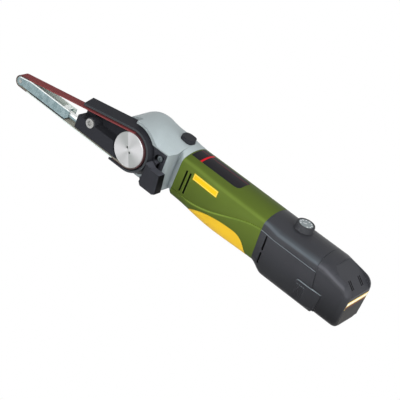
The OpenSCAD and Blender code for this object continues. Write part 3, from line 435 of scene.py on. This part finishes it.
def groove_wall_shade(half_span):
    """Painted shade: dark walls of the grooves along the middle of a panel."""
    def mark(p, tone):
        _, y, _ = p.axes()
        wall = p.facing()[1].maths("ABSOLUTE").step(0.5, 0.8)
        return p.mix((y - MID_Y).between(-half_span, half_span) * wall, tone, SLOT_SHADE)
    return mark


def seam_highlight(p, tone):
    """Painted highlight: a lighter band below the S-shaped seam, with a darker line of painted
    shade for a fine groove in its rear part.
    """
    x, _, z = p.axes()
    run = ((x - BODY_X) / BODY_LEN - SEAM_START) / (1.0 - SEAM_START)
    rise = run.maths("MAXIMUM", 0.0).maths("POWER", SEAM_BEND).step(0.0, 1.0)
    below = rise * (SEAM_BACK - SEAM_FRONT) + SEAM_FRONT - z
    band = (1.0 - below.step(0.6, 1.9)) * run.step(-0.05, 0.15)
    groove = below.step(0.4, 0.55) * (1.0 - below.step(0.75, 0.9)) * run.step(0.5, 0.7)
    return p.mix(groove, p.mix(band, tone, shade(GREEN, 1.9)), shade(GREEN, 0.7))


# Metals, belt and print

def metal(
    name, colour, rough=0.25, grain=(0.3, 0.3, 0.3), depth=0.004, level=1.0, specular=0.5, marks=()
):
    """Metal with a grain in millimetres along each axis, and marks laid over its colour."""
    p = Paint(name)
    lay = p.drawn_noise(grain, 4.0)
    tone = p.mix(lay, shade(colour, 0.88), shade(colour, 1.08))
    for mark in marks:
        tone = mark(p, tone)
    return p.surface(
        color=tone,
        rough=rough - 0.05 + lay * 0.1,
        metal=level,
        normal=p.bump(lay, depth),
        specular=specular,
    )


def polished_rod():
    """Drawn bright rod with a painted reflection of the studio: pale above and blue-grey below."""
    p = Paint("polished_rod")
    lines = p.noise(0.6, 2.0)
    above = (p.facing()[2] + lines * 0.2).step(0.15, 0.55)
    return p.surface(
        color=p.mix(above, (0.24, 0.33, 0.35), (0.96, 0.98, 0.98)),
        rough=0.2 + lines * 0.08,
        metal=0.25,
        normal=p.bump(lines, 0.002),
    )


def turned_metal():
    """Faced disc: fine rings about the spindle, with a painted sheen of a turned face in fans of
    lighter and darker colour, and painted shade on the side of the disc.
    """
    p = Paint("turned_aluminium")
    x, y, z = p.axes()
    radius = (x * x + z * z).maths("SQRT")
    half_turns = z.maths("ARCTAN2", x) / math.pi
    share = (half_turns + (1.0 - SHEEN_START)).maths("FRACT")
    rings = (radius * 16.0 + p.noise(3.0, 2.0) * 2.0).maths("SINE")
    sheen_fans = 1.0 - share.step(0.0, 0.2) * 0.4 + share.step(0.24, 0.42) * 0.2
    sheen_fans = sheen_fans - share.step(0.435, 0.46) * 0.5 + share.step(0.56, 0.97) * 0.7
    face = (0.6 - y).step(0.0, 0.4)
    return p.surface(
        color=p.mix((sheen_fans + rings * 0.03) * face, (0.25, 0.27, 0.26), (0.6, 0.6, 0.61)),
        rough=0.4 + rings * 0.05,
        metal=0.6,
        normal=p.bump(rings, 0.003),
    )


def galvanised():
    """Zinc-coated sheet with a soft spangle, a painted highlight on its top edges and on faces that
    look up, and painted light inside the far wall.
    """
    p = Paint("galvanised_sheet")
    x, y, z = p.axes()
    _, side, rise = p.facing()
    near = (0.0 - side).step(0.6, 0.9)
    cloud = p.drawn_noise((5.0, 9.0, 9.0), 3.0)
    spangle = p.split(p.cells(2.6, out="Color"))[0]
    streak = p.noise(0.9, 3.0)
    mixed = cloud.step(0.3, 0.7) * 0.6 + spangle * 0.25 + streak * 0.15
    zinc = p.mix(mixed, (0.13, 0.205, 0.22), (0.31, 0.4, 0.42))
    # Painted light on the inside of the far wall
    inside = y.step(5.0, 6.0) * near
    zinc = p.mix(inside, zinc, (0.6, 0.66, 0.61))
    # Painted highlight on faces that look up and on the near wall's top edges
    upper_edge = z.step(BLADE_TOP - 0.9, BLADE_TOP - 0.7)
    rim = upper_edge.maths("MAXIMUM", above_run(x, z).step(-1.3, -1.0))
    bright = rise.step(0.5, 0.9).maths("MAXIMUM", rim * near * (1.0 - inside))
    return p.surface(
        color=p.mix(bright, zinc, (0.86, 0.9, 0.9)),
        rough=0.36 + mixed * 0.16,
        metal=0.3,
        normal=p.bump(streak, 0.003),
    )


def abrasive(name, dark, light, depth):
    """Grit or cloth of the belt."""
    p = Paint(name)
    grit = p.cells(0.35)
    fine = p.noise(0.5, 3.0)
    return p.surface(
        color=p.mix(grit * 0.7 + fine * 0.5, dark, light),
        rough=0.7 + fine * 0.2,
        normal=p.bump(grit + fine * 0.4, depth),
        specular=0.25,
    )


def printed(name, size, ground, line=None, bands=()):
    """Bare printed plate of a size in millimetres.

    A line is an inset from the edge, a width and a colour. A band runs across the plate between
    two places on axis 0 or 1, and has a colour.
    """
    p = Paint(name)
    u, v = p.uv()
    across, along = u * size[0], v * size[1]
    colour = ground
    if line:
        inset, width, ink = line
        from_sides = across.maths("MINIMUM", size[0] - across)
        edge = from_sides.maths("MINIMUM", along.maths("MINIMUM", size[1] - along))
        beyond = inset + width
        drawn = edge.step(inset, inset + LINE_SOFT) * (1.0 - edge.step(beyond, beyond + LINE_SOFT))
        colour = p.mix(drawn, ground, ink)
    for axis, start, end, ink in bands:
        run = (across, along)[axis]
        drawn = run.step(start, start + BAND_SOFT) * (1.0 - run.step(end - BAND_SOFT, end))
        colour = p.mix(drawn, colour, ink)
    return p.surface(
        color=colour,
        rough=0.4 + p.noise(6.0, 2.0) * 0.1,
        normal=p.bump(p.noise(1.5), 0.002),
        specular=0.06,
    )


# Finishes of the material slots, and those of single nodes

GREEN_SKIN = dict(colour=GREEN, rough=0.5, grain=0.6, depth=0.01, spread=0.06, specular=0.05)
DARK_SKIN = dict(colour=DARK, rough=0.42, grain=0.7, depth=0.012, spread=0.08, specular=0.1)
ENAMEL = dict(colour=BLACK, rough=0.46, grain=1.2, depth=0.012, spread=0.1, specular=0.05)
FINE_BLACK = dict(rough=0.46, grain=0.7, depth=0.01, spread=0.1, specular=0.06)
CASTING = dict(rough=0.42, grain=(1.0, 1.0, 1.0), depth=0.006, level=0.2, specular=0.12)
SCREW_STEEL = dict(rough=0.35, grain=(1.0, 1.0, 1.0), depth=0.006, level=0.8)

# Painted shade, darker down the sides
green_downward_shade = downward_shade(shade(GREEN, 0.62))
# Painted highlights along the ridges
green_ridge_highlight = ridge_highlight(shade(GREEN, 1.4))
dark_downward_shade = downward_shade(shade(DARK, 0.45))
dark_ridge_highlight = ridge_highlight((0.075, 0.088, 0.1))
black_ridge_highlight = ridge_highlight((0.075, 0.08, 0.09))
# Painted shade on the casting's faces that look to the user and to the rear
casting_painted_shade = [painted_light_by_facing(NEAR, shade(CAST, 0.62)), painted_light_by_facing(REAR, shade(CAST, 0.55))]

finishes = {
    # Green shell: painted shade down the sides and in the slots, painted highlight along the ridges
    "green_shell": moulded(
        "green_plastic", **GREEN_SKIN, marks=[green_downward_shade, green_ridge_highlight, slot_wall_shade(*BODY_SLOTS)]
    ),
    "yellow_grip": moulded(
        "yellow_rubber", YELLOW, rough=0.5, grain=0.8, spread=0.05, specular=0.25
    ),
    "dark_shell": moulded("dark_plastic", **DARK_SKIN, marks=[dark_downward_shade, dark_ridge_highlight]),
    "black_part": moulded("black_enamel", **ENAMEL, marks=[black_ridge_highlight]),
    "black_plastic": moulded("black_plastic", BLACK, **FINE_BLACK),
    "die_cast": metal("satin_casting", CAST, **CASTING, marks=casting_painted_shade),
    "turned": turned_metal(),
    "steel": metal(
        "bright_steel", (0.92, 0.94, 0.94), rough=0.26, grain=(4.0, 0.25, 0.25), level=0.35
    ),
    "galvanised": galvanised(),
    "abrasive": abrasive("belt_grit", (0.125, 0.02, 0.024), (0.25, 0.056, 0.056), 0.06),
    "copper_iron": metal("rotor_stack", (0.35, 0.22, 0.12), rough=0.4, grain=(0.3, 2.0, 2.0)),
    "board_green": moulded("circuit_board", (0.02, 0.12, 0.04), rough=0.35, grain=1.5, depth=0.01),
    "cell_wrap": moulded("cell_wrap", (0.03, 0.2, 0.14), rough=0.25, grain=8.0, depth=0.01),
    "dial_face": moulded(
        "dial_face", (0.23, 0.265, 0.275), grain=0.8, depth=0.006, spread=0.05, specular=0.15
    ),
}
dull_steel = metal("dull_steel", (0.42, 0.42, 0.41), **SCREW_STEEL)
dark_steel = metal("dark_steel", (0.15, 0.175, 0.185), **SCREW_STEEL)
# Lower green shell: painted shade down the sides and a painted highlight below the seam
seam_shell = moulded("green_plastic_seam", **GREEN_SKIN, marks=[green_downward_shade, seam_highlight])
# Rear shell and latches: painted shade down the sides, painted highlight on the ledges, painted
# shade in the slots
dark_ledge_highlight = moulded(
    "dark_plastic_ledge_highlight", **DARK_SKIN,
    marks=[dark_downward_shade, ledge_highlight(LEDGE_HIGHLIGHT, LEDGE_LOWEST), slot_wall_shade(*REAR_SLOTS)],
)
latch_ledge_highlight = moulded("latch_plastic", **DARK_SKIN, marks=[dark_downward_shade, ledge_highlight(LEDGE_HIGHLIGHT)])
# Battery: painted shade down the sides and in the grooves, painted highlight on the ridges and the
# sloping panel
battery_black = moulded(
    "battery_plastic", **DARK_SKIN,
    marks=[
        downward_shade(shade(DARK, 0.25)), ridge_highlight(shade(DARK, 2.3)), slope_highlight(shade(DARK, 1.2)),
        groove_wall_shade(GROOVES_HALF),
    ],
)
# Belt carrier: painted highlight on the ridges and on the cover's rim
carrier_black = moulded(
    "black_enamel_rim_highlight", **ENAMEL, marks=[black_ridge_highlight, cover_rim_highlight((0.045, 0.05, 0.055))]
)
# Guard: painted shade on the faces that look to the rear, painted highlight on those that look up
guard_black = moulded(
    "black_enamel_guard", **ENAMEL,
    marks=[black_ridge_highlight, painted_light_by_facing(REAR, shade(BLACK, 0.12)), painted_light_by_facing(UP, shade(BLACK, 2.6))],
)
dial_black = moulded("dial_plastic", (0.036, 0.037, 0.041), **FINE_BLACK)
special = {
    "tracking_screw": dull_steel, "plate_screws": dull_steel, "roller_pin": dull_steel,
    "clamp_screw": dark_steel, "tension_rod": polished_rod(), "belt_carrier": carrier_black,
    "guard": guard_black, "lower_shell": seam_shell, "rear_lower_shell": dark_ledge_highlight,
    "speed_dial": dial_black, "battery_case": battery_black,
    "battery_latch_left": latch_ledge_highlight, "battery_latch_right": latch_ledge_highlight,
}

# Finishes of the added pieces
belt_cloth = abrasive("belt_cloth", (0.28, 0.27, 0.22), (0.46, 0.45, 0.38), 0.03)
# Painted highlight on the edges of the lower run of the belt
lit_belt_edge = abrasive("lit_belt_edge", (0.46, 0.54, 0.52), (0.66, 0.74, 0.72), 0.01)
# Painted shade on the belt's edges at the tip and under the cover, and on the grit round the wheel
shaded_edge = abrasive("belt_edge_in_shade", (0.03, 0.02, 0.02), (0.08, 0.05, 0.05), 0.01)
shaded_grit = abrasive("belt_edge_shaded", (0.036, 0.015, 0.017), (0.09, 0.036, 0.039), 0.03)
# Near-black sheet of painted shade behind the vents
shade_sheet_black = moulded(
    "vent_shade_sheet", SLOT_SHADE, rough=0.6, grain=0.4, depth=0.05, spread=0.3, specular=0.1
)
white_mark = moulded("white_mark", (0.7, 0.72, 0.74), rough=0.5, depth=0.004, spread=0.04)
badge_ink = printed(
    "badge_plate", (BADGE_LONG, BADGE_HIGH), (0.66, 0.43, 0.008), (0.5, 0.3, (0.72, 0.6, 0.2))
)
label_ink = printed(
    "top_label", (LABEL_LONG, LABEL_WIDE), (0.014, 0.013, 0.016),
    bands=[(1, 13.6, 14.3, (0.2, 0.01, 0.016)), (0, 9.6, 11.6, (0.62, 0.01, 0.02))],
)
end_ink = printed(
    "end_label", (END_LABEL_WIDE, END_LABEL_HIGH), (0.02, 0.019, 0.018),
    (0.5, 0.2, (0.05, 0.05, 0.05)),
    bands=[
        (1, 19.2, END_LABEL_HIGH, (0.85, 0.6, 0.14)), (1, 20.2, 22.8, (0.85, 0.82, 0.7)),
        (1, 17.4, 18.0, (0.3, 0.02, 0.03)),
    ],
)

slots = {row["node"]: row["material_slot"] for row in frame["record"]["subparts"]}
for name, piece in nodes.items():
    piece.data.materials.clear()
    piece.data.materials.append(special.get(name, finishes[slots[name]]))


# Softened edges on the nodes that show, by width in millimetres

EDGES = {
    "upper_shell": 0.3, "lower_shell": 0.25, "rear_upper_shell": 0.3, "rear_lower_shell": 0.3,
    "soft_grip": 0.25, "battery_case": 0.35, "battery_latch_left": 0.3, "battery_latch_right": 0.3,
    "gear_head": 0.4, "bearing_plate": 0.4, "guard": 0.5, "belt_carrier": 0.4, "blade": 0.12,
    "lock_button": 0.5, "drive_wheel": 0.12, "speed_dial": 0.25, "dial_plate": 0.1,
    "switch_slider": 0.3, "tension_rod": 0.25, "tracking_screw": 0.25, "clamp_screw": 0.2,
    "platen_pad": 0.1,
}


def soften(piece, width):
    """Bevel the edges of a node, and even out its normals."""
    mesh = piece.data
    if mesh.has_custom_normals:
        with bpy.context.temp_override(object=piece, active_object=piece, selected_objects=[piece]):
            bpy.ops.mesh.customdata_custom_splitnormals_clear()
    mesh.shade_smooth()
    weld = piece.modifiers.new("weld", "WELD")
    weld.merge_threshold = WELD_GAP * MM
    bevel = piece.modifiers.new("bevel", "BEVEL")
    bevel.width = width * MM
    bevel.segments = 2
    bevel.limit_method = "ANGLE"
    bevel.angle_limit = math.radians(SOFT_ANGLE)
    bevel.profile = 0.5
    even = piece.modifiers.new("even", "WEIGHTED_NORMAL")
    even.keep_sharp = False


for name, width in EDGES.items():
    soften(nodes[name], width)


# Added pieces

def finish_piece(name, shape, materials, body=None, smooth=True, span=None):
    """The piece rides on a body, or with a span it stays where it is; the span's bodies and ends
    are not used.
    """
    mesh = bpy.data.meshes.new(name)
    bmesh.ops.recalc_face_normals(shape, faces=shape.faces)
    shape.to_mesh(mesh)
    shape.free()
    for material in materials:
        mesh.materials.append(material)
    if smooth:
        mesh.shade_smooth()
        mesh.set_sharp_from_angle(angle=math.radians(SHARP_ANGLE))
    piece = bpy.data.objects.new(name, mesh)
    bpy.context.scene.collection.objects.link(piece)
    if span:
        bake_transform(piece)
    else:
        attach(piece, body)
    return piece


def add_box(shape, centre, size, turn=0.0):
    """A box in millimetres, turned about the vertical by an angle in degrees."""
    place = Matrix.Translation(Vector(centre) * MM)
    spin = Matrix.Rotation(math.radians(turn), 4, "Z")
    scale = Matrix.Diagonal((*(Vector(size) * MM), 1.0))
    bmesh.ops.create_cube(shape, size=1.0, matrix=place @ spin @ scale)


def plate(name, columns, rows, place, thick, material, body):
    """Thin plate whose face follows place(u, v), a point and an outward normal in millimetres."""
    shape = bmesh.new()
    layer = shape.loops.layers.uv.new("UVMap")
    grids = []
    for level in (0.0, thick):
        grid = []
        for i in range(columns + 1):
            line = []
            for j in range(rows + 1):
                point, normal = place(i / columns, j / rows)
                line.append(shape.verts.new((point + normal * level) * MM))
            grid.append(line)
        grids.append(grid)

    def face(corners, uvs):
        made = shape.faces.new(corners)
        for loop, uv in zip(made.loops, uvs):
            loop[layer].uv = uv

    under, over = grids
    for i in range(columns):
        for j in range(rows):
            ring = [(i, j), (i + 1, j), (i + 1, j + 1), (i, j + 1)]
            uvs = [(a / columns, b / rows) for a, b in ring]
            face([over[a][b] for a, b in ring], uvs)
            face([under[a][b] for a, b in reversed(ring)], uvs[::-1])
    rim = [(i, 0) for i in range(columns)] + [(columns, j) for j in range(rows)]
    rim += [(i, rows) for i in range(columns, 0, -1)] + [(0, j) for j in range(rows, 0, -1)]
    for k, (a, b) in enumerate(rim):
        c, d = rim[(k + 1) % len(rim)]
        corner = (a / columns, b / rows)
        face([under[a][b], under[c][d], over[c][d], over[a][b]], [corner] * 4)
    return finish_piece(name, shape, [material], body)


def ease(t):
    """0 below 0, 1 above 1, smooth between them."""
    t = min(max(t, 0.0), 1.0)
    return t * t * (3.0 - 2.0 * t)


def arc(centre, radius, start, end, steps):
    """Points on an arc from one angle to another, with both ends."""
    angles = [start + (end - start) * i / steps for i in range(steps + 1)]
    return [centre + Vector((math.cos(a), math.sin(a))) * radius for a in angles]


def body_half_width(x):
    """Half the width of the green body, which widens to the rear."""
    widening = ease((x - BODY_X) / BODY_LEN / WIDENING_SHARE)
    return FRONT_HALF_WIDTH + (REAR_HALF_WIDTH - FRONT_HALF_WIDTH) * widening


def body_crest(x):
    """Height of the green body's crown, which falls to the rear."""
    share = (x - BODY_X) / BODY_LEN
    return FRONT_CREST + (REAR_CREST - FRONT_CREST) * share * share


def body_side(x, z):
    """Point and normal of the near side of the green body."""
    half = body_half_width(x)
    ridge_y = half - RIDGE_R
    ridge_z = body_crest(x) - CROWN_R + math.sqrt((CROWN_R - RIDGE_R) ** 2 - ridge_y ** 2)
    if z <= ridge_z:
        return Vector((x, MID_Y - half, z)), Vector((0.0, -1.0, 0.0))
    rise = (z - ridge_z) / RIDGE_R
    out = math.sqrt(max(1.0 - rise * rise, 0.0))
    return Vector((x, MID_Y - ridge_y - RIDGE_R * out, z)), Vector((0.0, -out, rise))


def body_top(x, y):
    """Point and normal of the green body's crown."""
    drop = math.sqrt(CROWN_R * CROWN_R - y * y)
    point = Vector((x, MID_Y + y, body_crest(x) - CROWN_R + drop))
    return point, Vector((0.0, y / CROWN_R, drop / CROWN_R))


# The belt, with grit outside and cloth inside
def belt_path(offset):
    """Points round the loop, at a distance from the wheel and the roller."""
    def run_between(start, end):
        return [start.lerp(end, i / RUN_STEPS) for i in range(1, RUN_STEPS)]

    run, top = belt_spans()
    bottom = -math.pi / 2
    tip = Vector((-run, ROLLER_R - WHEEL_R))
    wheel = arc(Vector((0.0, 0.0)), WHEEL_R + offset, bottom, top, WHEEL_STEPS)
    roller = arc(tip, ROLLER_R + offset, top, bottom + 2 * math.pi, TIP_STEPS)
    return wheel + run_between(wheel[-1], roller[0]) + roller + run_between(roller[-1], wheel[0])


belt_looks = [finishes["abrasive"], belt_cloth, lit_belt_edge, shaded_edge, shaded_grit]
GRIT, CLOTH, LIT_EDGE, SHADED_EDGE, SHADED_GRIT = range(len(belt_looks))


def belt_look(side, at):
    """Which of the belt's looks one of its sides has at a point of the loop: painted shade on the
    grit round the wheel and on the edges at the tip and under the cover, painted light on the edges
    of the lower run.
    """
    grit = SHADED_GRIT if at.x > 0.0 else GRIT
    if side == OUTSIDE:
        return grit
    if side == INSIDE:
        return CLOTH
    if at.x < TIP_X:
        return SHADED_EDGE
    if at.y > LOWER_RUN_Z:
        return grit
    return LIT_EDGE if at.x < COVERED_X else SHADED_EDGE


shape = bmesh.new()
inner, outer = belt_path(BELT_GAP), belt_path(BELT_GAP + BELT_T)
near, far = BELT_Y
rings = []
for i, o in zip(inner, outer):
    corners = ((o, near), (o, far), (i, far), (i, near))
    rings.append([shape.verts.new(Vector((p.x, y, p.y)) * MM) for p, y in corners])
for k, ring in enumerate(rings):
    other = rings[(k + 1) % len(rings)]
    for side in range(BELT_SIDES):
        nxt = (side + 1) % BELT_SIDES
        made = shape.faces.new((ring[side], ring[nxt], other[nxt], other[side]))
        made.material_index = belt_look(side, outer[k])
belt_ends = [Vector((x, 0.0, 0.0)) * MM for x in (COVERED_X, TIP_X)]
belt = finish_piece("abrasive_belt", shape, belt_looks, span=("carrier", "blade_arm", *belt_ends))
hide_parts("sanding_belt")


# Springs between the body they stand on and the one they push
def coil(name, node, fixed, moving, start, end):
    """The spring of a node, as a piece that stands in place of the node."""
    shape = bmesh.new()
    shape.from_mesh(nodes[node].data)
    shape.transform(nodes[node].matrix_world)
    piece = finish_piece(name, shape, [dull_steel], span=(fixed, moving, start, end))
    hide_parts(node)


low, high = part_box("tension_spring")
moved_end = Vector((low.x, high.y, high.z))
coil("tension_coil", "tension_spring", "carrier", "blade_arm", high, moved_end)
low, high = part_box("lock_spring")
moved_end = Vector((low.x, low.y, high.z))
coil("lock_coil", "lock_spring", "tool", "lock", low, moved_end)


# Bare plates where the photo has print
def badge_place(u, v):
    """The badge lies on the near side of the body."""
    return body_side(BADGE_X + BADGE_LONG * u, BADGE_Z + BADGE_HIGH * v)


def label_place(u, v):
    """The label lies on the crown, its rear corners rounded."""
    from_side = min(v, 1.0 - v) * LABEL_WIDE
    into = max(LABEL_CORNER - from_side, 0.0)
    cut = LABEL_CORNER - math.sqrt(LABEL_CORNER ** 2 - into ** 2)
    x = LABEL_X + LABEL_LONG * u - cut * ease((u - LABEL_ROUND_FROM) / (1.0 - LABEL_ROUND_FROM))
    return body_top(x, (v - 0.5) * LABEL_WIDE)


def end_place(u, v):
    """The label on the flat end of the battery."""
    y, z = MID_Y + END_LABEL_WIDE * (u - 0.5), END_LABEL_Z + END_LABEL_HIGH * v
    return Vector((BATTERY_END, y, z)), Vector((1.0, 0.0, 0.0))


plate("side_badge", 14, 6, badge_place, BADGE_T, badge_ink, "tool")
plate("top_label", 24, 24, label_place, LABEL_T, label_ink, "tool")
plate("battery_label", 6, 6, end_place, LABEL_T, end_ink, "battery")


# Thick finger of the guard, fitted over the solid's fin
def finger_outline():
    """The finger from the front: an S-shaped lip above, wider and with round corners below."""
    points = []
    for i in range(LIP_STEPS + 1):
        along = (FINGER_RIGHT - FINGER_LEFT) * i / LIP_STEPS
        lip = FINGER_LIP * (1.0 - ease(along / FINGER_LIP_LONG))
        points.append(Vector((FINGER_LEFT + along, FINGER_TOP + lip)))
    right = FINGER_RIGHT + FINGER_SPREAD - FINGER_CORNER
    quarter = math.pi / 2
    for x, start in ((right, 0.0), (FINGER_LEFT + FINGER_CORNER, -quarter)):
        centre = Vector((x, FINGER_BOTTOM + FINGER_CORNER))
        points += arc(centre, FINGER_CORNER, start, start - quarter, CORNER_STEPS)
    return points


shape = bmesh.new()
rear, front = (
    [shape.verts.new(Vector((p.x, y, p.y)) * MM) for p in finger_outline()] for y in FINGER_Y
)
shape.faces.new(rear)
face = shape.faces.new(front)
for k in range(len(front)):
    shape.faces.new((rear[k - 1], rear[k], front[k], front[k - 1]))
bmesh.ops.bevel(
    shape, geom=list(face.edges), offset=FINGER_EDGE * MM, segments=3, profile=0.5, affect="EDGES"
)
finger = finish_piece("guard_finger", shape, [guard_black], "tool")

# Dark sheet behind the vents of the body, on both sides: painted shade for the inside of the body
shape = bmesh.new()
for y in (MID_Y - SHADE_SHEET_Y, MID_Y + SHADE_SHEET_Y):
    add_box(shape, (VENT_X, y, VENT_Z), (VENT_LONG, SHADE_SHEET_T, VENT_HIGH))
vent_shade_sheet = finish_piece("vent_shade_piece", shape, [shade_sheet_black], "tool", smooth=False)

# Dots and a pointer on the dial's plate
low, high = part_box("dial_plate")
centre = (low + high) / 2 / MM
mark_z = high.z / MM + MARK_LIFT
shape = bmesh.new()
for i in range(DOTS):
    angle = math.radians(DOT_START - DOT_SWEEP * i / (DOTS - 1))
    x = centre.x + DOT_RING_R * math.cos(angle)
    y = centre.y + DOT_RING_R * math.sin(angle)
    radius = DOT_R[i % len(DOT_R)] * MM
    bmesh.ops.create_cone(
        shape, cap_ends=True, cap_tris=False, segments=12, radius1=radius, radius2=radius,
        depth=MARK_T * MM, matrix=Matrix.Translation(Vector((x, y, mark_z)) * MM),
    )
pointer = (centre.x + POINTER_AT[0], centre.y + POINTER_AT[1], mark_z)
add_box(shape, pointer, (*POINTER_SIZE, MARK_T), POINTER_TURN)
marks = finish_piece("dial_marks", shape, [white_mark], "dial", smooth=False)


# Studio

def seen_directly(p):
    """1 for rays from the camera, also by way of a mirror or glass."""
    seen, *others = (
        p.node("ShaderNodeLightPath", {}, out=f"Is {kind} Ray")
        for kind in ("Camera", "Glossy", "Transmission")
    )
    for ray in others:
        seen = seen.maths("MAXIMUM", ray)
    return seen


def studio_material():
    """White where the camera sees it from above, clear from below, matt for other light."""
    p = Paint("studio_floor")
    matt = p.node("ShaderNodeBsdfDiffuse", {"Color": FLOOR_GREY})
    white = p.node("ShaderNodeEmission", {"Color": WHITE, "Strength": 1.0})
    clear = p.node("ShaderNodeBsdfTransparent", {})
    above = p.node("ShaderNodeMixShader", {0: seen_directly(p), 1: matt, 2: white})
    under = p.node("ShaderNodeNewGeometry", {}, out="Backfacing")
    return p.done(p.node("ShaderNodeMixShader", {0: under, 1: above, 2: clear}))


mesh = bpy.data.meshes.new("studio_floor")
shape = bmesh.new()
bmesh.ops.create_grid(shape, x_segments=1, y_segments=1, size=FLOOR_HALF)
shape.to_mesh(mesh)
shape.free()
mesh.materials.append(studio_material())
floor = bpy.data.objects.new("studio_floor", mesh)
floor.location.z = loaded_bounds[0].z - FLOOR_DROP * MM
bpy.context.scene.collection.objects.link(floor)

world = bpy.data.worlds.new("studio")
bpy.context.scene.world = world
world.use_nodes = True
world.node_tree.nodes.clear()
sky = Nodes(world.node_tree)
soft, plain = (
    sky.node("ShaderNodeBackground", {"Color": WHITE, "Strength": strength})
    for strength in (SKY_LIGHT, 1.0)
)
seen = sky.node("ShaderNodeMixShader", {0: seen_directly(sky), 1: soft, 2: plain})
sky.node("ShaderNodeOutputWorld", {"Surface": seen}, out=None)


def lamp(name, place, size, power, aim=LAMP_AIM, spread=180.0):
    """A round lamp: place and size in metres, power in watts, spread in degrees."""
    data = bpy.data.lights.new(name, "AREA")
    data.shape = "DISK"
    data.size = size
    data.energy = power
    data.spread = math.radians(spread)
    light = bpy.data.objects.new(name, data)
    light.location = place
    light.rotation_euler = (Vector(aim) - Vector(place)).to_track_quat("-Z", "Y").to_euler()
    bpy.context.scene.collection.objects.link(light)


lamp("key", (0.3, -1.0, 0.62), 0.9, 12.0)
lamp("fill", (-0.7, -0.8, 0.35), 0.8, 2.0)
lamp("end_fill", (0.95, -0.2, 0.4), 0.8, 6.5)
lamp("top", (0.1, 0.5, 0.9), 0.8, 0.3)
lamp("accent", (0.2, -0.85, 0.2), 0.12, 0.03, aim=(0.13, 0.01, 0.0), spread=16.0)

camera_data = bpy.data.cameras.new("camera")
camera_data.lens = LENS
camera_data.sensor_width = 36.0
camera_data.clip_start = 0.05
camera = bpy.data.objects.new("camera", camera_data)
back = Vector(CAMERA_BACK).normalized()
up = back.cross(Vector(CAMERA_RIGHT)).normalized()
camera.matrix_world = Matrix((up.cross(back), up, back)).transposed().to_4x4()
camera.matrix_world.translation = CAMERA_AT
bpy.context.scene.collection.objects.link(camera)
bpy.context.scene.camera = camera
bpy.context.scene.view_settings.view_transform = "Standard"
